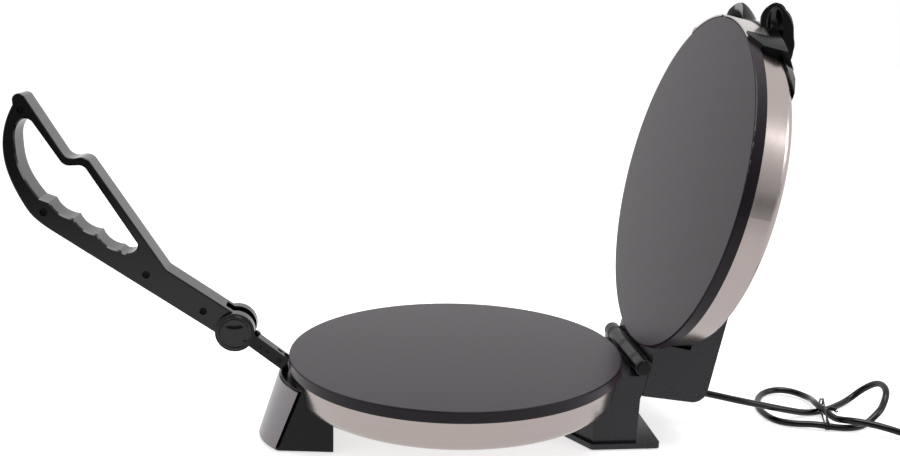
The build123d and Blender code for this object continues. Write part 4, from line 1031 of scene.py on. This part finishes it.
# ------------------------------------------------------------------ mains lead
@dataclass
class MainsLead:
    """Free lead from its strain relief to the plug, with the wire tie round its slack loop.

    All sizes are in millimetres.

    Attributes:
        diameter: Outside diameter of the lead.
        route: The free part's points, from the strain relief to the put-away turns. They come from a
            least-squares fit with limits on bend, which started from the route of the part's own tube.
        coil_middle: Centre of the put-away turns, x and y.
        coil_radii: Radius of the middle of each turn.
        coil_levels: Height of each turn's middle.
        coil_ends: Angles in degrees at which the first turn starts and the last one ends.
        coil_even: Part of each turn before it steps to the next one's radius and height.
        turn_points: Control points to a turn.
        plug_run: The lead's points from the last turn to the plug, from the turns' middle.
        relief_ends: Y of the strain relief's inner end, of the wall's outside and of its tip.
        relief_taper: Its radius at the root and at the tip.
        relief_bore: Radii of its inner end and of its tip's face.
        relief_collar: Radius of the collar at the wall, and where it ends, as a part of the taper's length.
        relief_ribs: How many ribs it has and their height.
        relief_ribbed: Parts of the taper's length between which it has ribs.
        tie_middle: Middle of the wire tie, x and y, and its lowest point.
        tie_half: Half of the tie's reach across the strands, along X, and how far that leans along Y.
        tie_rise: Half height in the tie's middle, and how much it falls towards the single strand.
        tie_beside: How far its rounds lie beside one another.
        tie_wire: Radius of the tie's wire, in the loop and in its twisted ends.
        tail_root: Where the twisted ends leave the loop.
        tail_turns: How many turns the ends are twisted.
        tail_spread: Radius of the twist at its root, and how much it widens to the tips.
        tail_reach: How far the tips lie from the root along X and Y.
        tail_arch: Rise of the twisted ends' middle against its height at both ends, times four.
        plug_root: Start of the plug's neck from the turns' middle, x and y, and its height.
        plug_length: Length of the plug's moulding.
        plug_neck: Half width and half height of its neck where it starts.
        plug_flare: How much the neck widens and heightens over each millimetre.
        plug_ribs: Pitch of the neck's ribs, where they end, and their height on the sides and on the top.
        plug_shoulder: Where its neck widens into the body, and how softly.
        plug_swell: How much wider and higher the body is than the neck, to each side.
        plug_grooves: Places of the finger grooves.
        plug_groove: Width of a groove, and its depth in the sides and in the top.
        plug_round: Length of the rounding at the face, and how much it takes off the sides and the top.
        plug_most: Greatest half width and half height.
    """

    diameter: float = 6.4
    route: tuple = (
        (0, 235.6, 35.5), (1, 263, 35.5), (6, 291.7, 30.7), (7.3, 318.7, 24.4), (4, 342.2, 18.2),
        (-1, 367.8, 11), (-9.2, 394, 3.2), (-14.9, 415.7, 3.2), (-28.4, 436.6, 3.2), (-38.2, 452.1, 5.2),
        (-37.8, 466.2, 17.1), (-23.7, 473.7, 28.4), (-3.2, 471.3, 27.5), (9.3, 461.5, 16.9),
        (17.7, 452.6, 13.2), (23.3, 437.5, 3.3), (29.1, 420.1, 3.2), (27.1, 403.6, 4), (23.1, 389.1, 5.7),
        (17.2, 371.7, 3.9), (8.5, 358.1, 3.2), (-7.2, 352.7, 3.2), (-29, 352.9, 3.2), (-56.9, 365.6, 3.4),
        (-68, 383.7, 5.1), (-63.9, 401.6, 5.6), (-44.6, 414.6, 4.5), (-14.2, 405.7, 11),
        (13.4, 410.6, 7.3), (23.6, 413.8, 9.5), (30.7, 420.5, 11.5), (38.6, 434, 11.5), (46.6, 451, 8.8),
        (54.5, 467.5, 4.8), (70, 487, 3.2))
    coil_middle: tuple = (55.5, 532.5)
    coil_radii: tuple = (41.6, 35.3, 35.4, 41.7)
    coil_levels: tuple = (3.2, 3.2, 9.7, 9.7)
    coil_ends: tuple = (-34.0, 78.0)
    coil_even: float = 0.66
    turn_points: int = 14
    plug_run: tuple = ((-8, 42.4, 9.0), (-22, 41.8, 8.0), (-32, 41.7, 8.0))
    relief_ends: tuple = (199.7, 209.7, 235.6)
    relief_taper: tuple = (6.6, 4.0)
    relief_bore: tuple = (5.5, 3.3)
    relief_collar: tuple = (8.4, 0.08)
    relief_ribs: tuple = (6.0, 0.55)
    relief_ribbed: tuple = (0.12, 0.95)
    tie_middle: tuple = (4.6, 406.3, 0.85)
    tie_half: tuple = (25.5, -8.6)
    tie_rise: tuple = (5.9, -2.0)
    tie_beside: float = 1.9
    tie_wire: tuple = (0.75, 0.7)
    tail_root: tuple = (4.0, 409.5, 12.9)
    tail_turns: float = 2.5
    tail_spread: tuple = (0.95, 0.9)
    tail_reach: tuple = (5.0, 6.5)
    tail_arch: float = 3.2
    plug_root: tuple = (-25.5, 41.7, 8.0)
    plug_length: float = 51.0
    plug_neck: tuple = (4.4, 4.2)
    plug_flare: tuple = (0.06, 0.03)
    plug_ribs: tuple = (3.6, 15.0, 0.4, 0.32)
    plug_shoulder: tuple = (18.5, 1.3)
    plug_swell: tuple = (5.2, 2.2)
    plug_grooves: tuple = (26.0, 31.0, 36.0)
    plug_groove: tuple = (1.1, 0.8, 0.5)
    plug_round: tuple = (2.0, 1.2, 1.0)
    plug_most: tuple = (10.9, 7.9)

    def coil_points(self) -> np.ndarray:
        """Control points of the put-away turns, in millimetres.

        Angle runs on evenly from where the lead touches the outer turn. Radius and height step from one
        turn's value to the next over the last third of each turn. Control points stand outside the line
        by one over the cosine of half the step between them.

        Returns:
            Points, rows by 3.
        """
        turns = len(self.coil_radii)
        start, end = math.radians(self.coil_ends[0]), math.radians(self.coil_ends[1]) + TURN * (turns - 1)
        count = int(round(self.turn_points * (end - start) / TURN))
        angle = np.linspace(start, end, count)
        passed = (angle - start) / TURN
        whole = np.minimum(np.floor(passed).astype(int), turns - 1)
        step = np.clip((passed - whole - self.coil_even) / (1 - self.coil_even), 0, 1)
        step = step * step * (3 - 2 * step)
        after = np.minimum(whole + 1, turns - 1)
        radii, levels = np.array(self.coil_radii), np.array(self.coil_levels)
        radius = radii[whole] + step * (radii[after] - radii[whole])
        radius /= math.cos(TURN / self.turn_points / 2)
        height = levels[whole] + step * (levels[after] - levels[whole])
        return np.stack([self.coil_middle[0] + radius * np.cos(angle),
                         self.coil_middle[1] + radius * np.sin(angle), height], axis=-1)

    def centre_line(self) -> np.ndarray:
        """All control points of the lead in metres."""
        to_plug = np.array(self.plug_run) + (*self.coil_middle, 0.0)
        return np.concatenate([np.array(self.route, dtype=float), self.coil_points(), to_plug]) * MM

    def lead(self) -> bpy.types.Object:
        """The lead as one open NURBS spline with a round section.

        Returns:
            The piece.
        """
        points = self.centre_line()
        curve = bpy.data.curves.new("mains_lead", "CURVE")
        curve.dimensions = "3D"
        curve.resolution_u = 10
        curve.render_resolution_u = 10
        curve.bevel_depth = self.diameter / 2 * MM
        curve.bevel_resolution = 5
        curve.use_fill_caps = True
        spline = curve.splines.new("NURBS")
        spline.points.add(len(points) - 1)
        spline.points.foreach_set("co", np.c_[points, np.ones(len(points))].ravel())
        spline.order_u = 3
        spline.use_endpoint_u = True
        return settle(linked("mains_lead", curve), "base", Slot.CORD, EXTRUDED_PVC, "power_cord", "cord_coil")

    def relief(self) -> bpy.types.Object:
        """Ribbed strain relief: a taper turned about Y whose radius rises in rounded ribs.

        Radius is the straight taper from root to tip, plus a rib height times the root of the positive part
        of a cosine along its length, with a plain collar at the wall.

        Returns:
            The piece.
        """
        inside, root, tip = (y * MM for y in self.relief_ends)
        wide, narrow = self.relief_taper
        count, height = self.relief_ribs
        collar, collar_end = self.relief_collar
        along = np.linspace(0, 1, 73)
        ribbed = (along > self.relief_ribbed[0]) * (along < self.relief_ribbed[1])
        ribs = height * MM * np.clip(np.cos(TURN * count * along), 0, 1) ** 0.5 * ribbed
        radius = np.where(along < collar_end, collar * MM, (wide + (narrow - wide) * along) * MM + ribs)
        bore, mouth = (r * MM for r in self.relief_bore)
        radius = np.concatenate([[bore, bore], radius, [mouth]])
        y = np.concatenate([[inside, root], root + (tip - root) * along, [tip]])
        turn = np.linspace(0, TURN, 40, endpoint=False)
        rings = np.stack([radius[:, None] * np.cos(turn), np.repeat(y[:, None], len(turn), 1),
                          self.route[0][2] * MM + radius[:, None] * np.sin(turn)], axis=-1)
        piece = mesh_piece("ribbed_strain_relief", *closed_tube(rings))
        return settle(piece, "base", Slot.CORD, MOULDED_PVC, "cord_gland")

    def tie(self) -> bpy.types.Object:
        """Wire tie: a flattened loop round the three strands, its ends twisted together on top.

        The loop goes round three times as a superellipse that stands across the strands, its rounds side
        by side; its height falls evenly from the crossed strands to the single one. Each twisted end is a
        helix whose middle rises and bends over.

        Returns:
            The piece.
        """
        t = np.linspace(0, 3 * TURN, 330, endpoint=False)
        across, upward = superellipse(t, 0.6)[0], superellipse(t, 0.5)[1]
        beside = self.tie_beside * np.cos(t / 3) * np.abs(np.cos(t)) ** 2
        half_height = self.tie_rise[0] + self.tie_rise[1] * across
        x, y, low = self.tie_middle
        loop = np.stack([x + self.tie_half[0] * across, y + self.tie_half[1] * across + beside,
                         low + half_height * (1 + upward)], axis=-1) * MM
        loop_wire, tail_wire = (r * MM for r in self.tie_wire)
        parts = [carried_tube(loop, loop_wire, 10, closed=True)]
        x, y, z = self.tail_root
        u = np.linspace(0, 1, 70)
        spread = self.tail_spread[0] + self.tail_spread[1] * u ** 3
        for half in (0.0, math.pi):
            swing = TURN * self.tail_turns * u + half
            tail = np.stack([x + spread * np.cos(swing) + self.tail_reach[0] * u ** 2,
                             y + self.tail_reach[1] * u + 0.4 * np.sin(swing),
                             z + spread * np.sin(swing) + self.tail_arch * u * (1 - u)], axis=-1) * MM
            parts.append(carried_tube(tail, tail_wire, 8))
        piece = mesh_piece("wire_tie", *merged(parts), sharp=60)
        return settle(piece, "base", Slot.CORD, EXTRUDED_PVC, "twist_tie")

    def plug(self) -> bpy.types.Object:
        """Moulded plug body: rounded oblong sections along X from the neck to the flat face.

        Each section is a superellipse; its half width and half height follow the neck's taper, the
        shoulder and three finger grooves, and its power grows from round neck to squared face.

        Returns:
            The piece.
        """
        x, y = self.coil_middle[0] + self.plug_root[0], self.coil_middle[1] + self.plug_root[1]
        along = np.linspace(0, self.plug_length, 120)
        body = fall(-along, -self.plug_shoulder[0], self.plug_shoulder[1])
        groove_width, side_groove, top_groove = self.plug_groove
        grooves = sum(bell(along, place, groove_width) for place in self.plug_grooves)
        pitch, ribs_end, side_rib, top_rib = self.plug_ribs
        ribs = np.clip(np.cos(TURN * along / pitch), 0, 1) * (along < ribs_end)
        round_length, side_round, top_round = self.plug_round
        edge = 1 - np.clip((self.plug_length - along) / round_length, 0, 1) ** 0.5
        width = (self.plug_neck[0] + self.plug_flare[0] * along + side_rib * ribs
                 + body * (self.plug_swell[0] - side_groove * grooves) - side_round * edge)
        height = (self.plug_neck[1] + self.plug_flare[1] * along + top_rib * ribs
                  + body * (self.plug_swell[1] - top_groove * grooves) - top_round * edge)
        turn = np.linspace(0, TURN, 48, endpoint=False)
        wide, tall = superellipse(turn[None, :], (1.0 - 0.45 * body)[:, None])
        wide = np.minimum(width, self.plug_most[0])[:, None] * wide
        tall = np.minimum(height, self.plug_most[1])[:, None] * tall
        back = np.broadcast_to((x - along)[:, None], wide.shape)
        rings = np.stack([back, y + wide, self.plug_root[2] + tall], axis=-1) * MM
        piece = mesh_piece("moulded_plug", *closed_tube(rings))
        return settle(piece, "base", Slot.PLUG, MOULDED_PVC, "plug")

    def build(self) -> None:
        """Make the lead and the pieces on it."""
        lead, relief, tie, plug = self.lead(), self.relief(), self.tie(), self.plug()
        dress(PRESSED_BRASS, "plug_blades")
        length = polyline_length(lead)
        log.info("lead is %.3f m long", length)


def polyline_length(lead: bpy.types.Object) -> float:
    """Length of a curve's own line, read from the spline without its section.

    Args:
        lead: The curve.

    Returns:
        Its length in metres.
    """
    plain = lead.data.copy()
    plain.bevel_depth = 0.0
    probe = bpy.data.objects.new("probe", plain)
    line = bpy.data.meshes.new_from_object(probe)
    points = np.empty((len(line.vertices), 3))
    line.vertices.foreach_get("co", points.ravel())
    bpy.data.objects.remove(probe)
    bpy.data.curves.remove(plain)
    bpy.data.meshes.remove(line)
    return float(np.linalg.norm(np.diff(points, axis=0), axis=1).sum())


# ------------------------------------------------------------------ studio
@dataclass
class Studio:
    """Floor, soft lights and the camera.

    Attributes:
        eye: The camera's place in metres.
        azimuth: Degrees from looking along +Y, turning towards -X.
        elevation: Degrees that the camera looks down.
        roll: Degrees that it leans.
        focal_pixels: Focal length in pixels of a picture 900 wide.
        frame_width: Width of that picture.
        sensor: Width of the sensor in millimetres, which the focal length refers to.
        open_side: Direction of the studio's open side, where its white paper and walls end.
        open_level: Brightness there, as metal and gloss show it; the white paper's is 1.
        paper_reach: Half width of the paper floor.
        paper_low: How far it lies below the part's own ground.
        paper_colour: Its linear colour as light falls on it.
        paper_fade: X between which its reflection falls to that level.
        paper_glow: How much light it adds to its own colour for the camera, which makes it white.
        room_fade: Nearness to the open side's direction between which the surround falls to that level.
        fill: Brightness of the surround as light on the object.
        lamps: Name, edge length, place, target and watts of each soft light.
    """

    eye: tuple = (0.9038, -0.0504, 0.3843)
    azimuth: float = 84.05
    elevation: float = 12.10
    roll: float = 1.10
    focal_pixels: float = 1047.0
    frame_width: int = 900
    sensor: float = 36.0
    open_side: tuple = (0.96, -0.24, 0.12)
    open_level: float = 0.16
    paper_reach: float = 6.0
    paper_low: float = 0.0001
    paper_colour: tuple = (0.75, 0.75, 0.75, 1)
    paper_fade: tuple = (0.3, 1.5)
    paper_glow: float = 0.66
    room_fade: tuple = (0.25, 0.8)
    fill: float = 0.55
    lamps: tuple = (("overhead_softbox", 1.1, (0.3, 0.4, 2.0), (0.1, 0.1, 0.1), 24.0),
                    ("near_softbox", 1.2, (1.0, -1.9, 1.3), (0, 0.05, 0.15), 3.0),
                    ("rear_softbox", 0.7, (0.7, 2.0, 0.9), (0, 0.1, 0.2), 5.0))

    def camera(self) -> None:
        """Camera turned by azimuth, elevation and roll."""
        az, el, ro = (math.radians(a) for a in (self.azimuth, self.elevation, self.roll))
        back = Vector((math.sin(az) * math.cos(el), -math.cos(az) * math.cos(el), math.sin(el)))
        right = Vector((math.cos(az), math.sin(az), 0))
        up = back.cross(right)
        leaning = math.cos(ro) * right + math.sin(ro) * up
        upright = -math.sin(ro) * right + math.cos(ro) * up
        data = bpy.data.cameras.new("camera")
        data.sensor_fit = "HORIZONTAL"
        data.sensor_width = self.sensor
        data.lens = self.focal_pixels * self.sensor / self.frame_width
        data.clip_start = 0.02
        camera = linked("camera", data)
        turned = Matrix((leaning, upright, back)).transposed().to_4x4()
        camera.matrix_world = Matrix.Translation(self.eye) @ turned
        bpy.context.scene.camera = camera

    def floor(self) -> None:
        """Wide pale floor that keeps the object's shadow and shows white to the camera and in reflections."""
        r = self.paper_reach
        mesh = bpy.data.meshes.new("floor")
        mesh.from_pydata([(-r, -r, 0), (r, -r, 0), (r, r, 0), (-r, r, 0)], [], [(0, 1, 2, 3)])
        floor = linked("floor", mesh)
        floor.location.z = -self.paper_low
        paper = bpy.data.materials.new("white_studio_paper")
        paper.use_nodes = True
        tree = paper.node_tree
        tree.nodes.clear()
        ray = add_node(tree, "LightPath").outputs
        mirrored = add_node(tree, "Math", {0: ray["Is Glossy Ray"], 1: ray["Is Transmission Ray"]},
                            operation="MAXIMUM").outputs[0]
        where = add_node(tree, "TexCoord")
        place = add_node(tree, "SeparateXYZ", {"Vector": where.outputs["Object"]})
        edge = add_node(tree, "MapRange", {"Value": place.outputs["X"], "From Min": self.paper_fade[0],
                                           "From Max": self.paper_fade[1], "To Min": 1.0,
                                           "To Max": self.open_level}, interpolation_type="SMOOTHSTEP")
        matt = add_node(tree, "BsdfDiffuse", {"Color": self.paper_colour}).outputs[0]
        glow = add_node(tree, "Emission", {"Color": WHITE, "Strength": self.paper_glow}).outputs[0]
        seen = add_node(tree, "Emission", {"Color": WHITE, "Strength": edge.outputs["Result"]}).outputs[0]
        lit = add_node(tree, "AddShader", {0: matt, 1: glow}).outputs[0]
        plain = add_node(tree, "MixShader", {0: ray["Is Camera Ray"], 1: matt, 2: lit}).outputs[0]
        which = add_node(tree, "MixShader", {0: mirrored, 1: plain, 2: seen}).outputs[0]
        add_node(tree, "OutputMaterial", {"Surface": which})
        mesh.materials.append(paper)

    def sky(self) -> None:
        """White surround with a darker open side in reflections, and a softer fill light."""
        world = bpy.data.worlds.new("surround")
        bpy.context.scene.world = world
        world.use_nodes = True
        tree = world.node_tree
        tree.nodes.clear()
        ray = add_node(tree, "LightPath").outputs
        mirrored = add_node(tree, "Math", {0: ray["Is Glossy Ray"], 1: ray["Is Transmission Ray"]},
                            operation="MAXIMUM").outputs[0]
        heading = add_node(tree, "TexCoord")
        facing = add_node(tree, "VectorMath", {0: heading.outputs["Generated"], 1: self.open_side},
                          operation="DOT_PRODUCT")
        room = add_node(tree, "MapRange", {"Value": facing.outputs["Value"], "From Min": self.room_fade[0],
                                           "From Max": self.room_fade[1], "To Min": 1.0,
                                           "To Max": self.open_level}, interpolation_type="SMOOTHSTEP")
        fill = add_node(tree, "Background", {"Color": WHITE, "Strength": self.fill}).outputs[0]
        seen = add_node(tree, "Background", {"Color": WHITE, "Strength": room.outputs["Result"]}).outputs[0]
        white = add_node(tree, "Background", {"Color": WHITE, "Strength": 1.0}).outputs[0]
        lit = add_node(tree, "MixShader", {0: mirrored, 1: fill, 2: seen}).outputs[0]
        which = add_node(tree, "MixShader", {0: ray["Is Camera Ray"], 1: lit, 2: white}).outputs[0]
        add_node(tree, "OutputWorld", {"Surface": which})

    def lamp(self, name: str, size: float, place: tuple, target: tuple, power: float) -> None:
        """Square soft light.

        Args:
            name: Its name.
            size: Edge length in metres.
            place: Where it stands.
            target: Point that it faces.
            power: Watts.
        """
        data = bpy.data.lights.new(name, "AREA")
        data.shape = "SQUARE"
        data.size = size
        data.energy = power
        lamp = linked(name, data)
        lamp.location = place
        lamp.rotation_euler = (Vector(target) - Vector(place)).to_track_quat("-Z", "Y").to_euler()

    def build(self) -> None:
        """Make the studio."""
        bpy.context.scene.view_settings.view_transform = "Standard"
        self.camera()
        self.floor()
        self.sky()
        for lamp in self.lamps:
            self.lamp(*lamp)


def main() -> None:
    """Build the studio and every sub-assembly in order."""
    Studio().build()
    MainsLead().build()
    HeatedHalf("lower", BASE_AXIS).build()
    HeatedHalf("upper", LID_AXIS).build()
    Base().build()
    LidFittings().build()
    Lever().build()
    Handle().build()
    ScrewSets().build()


if __name__ == "__main__":
    main()
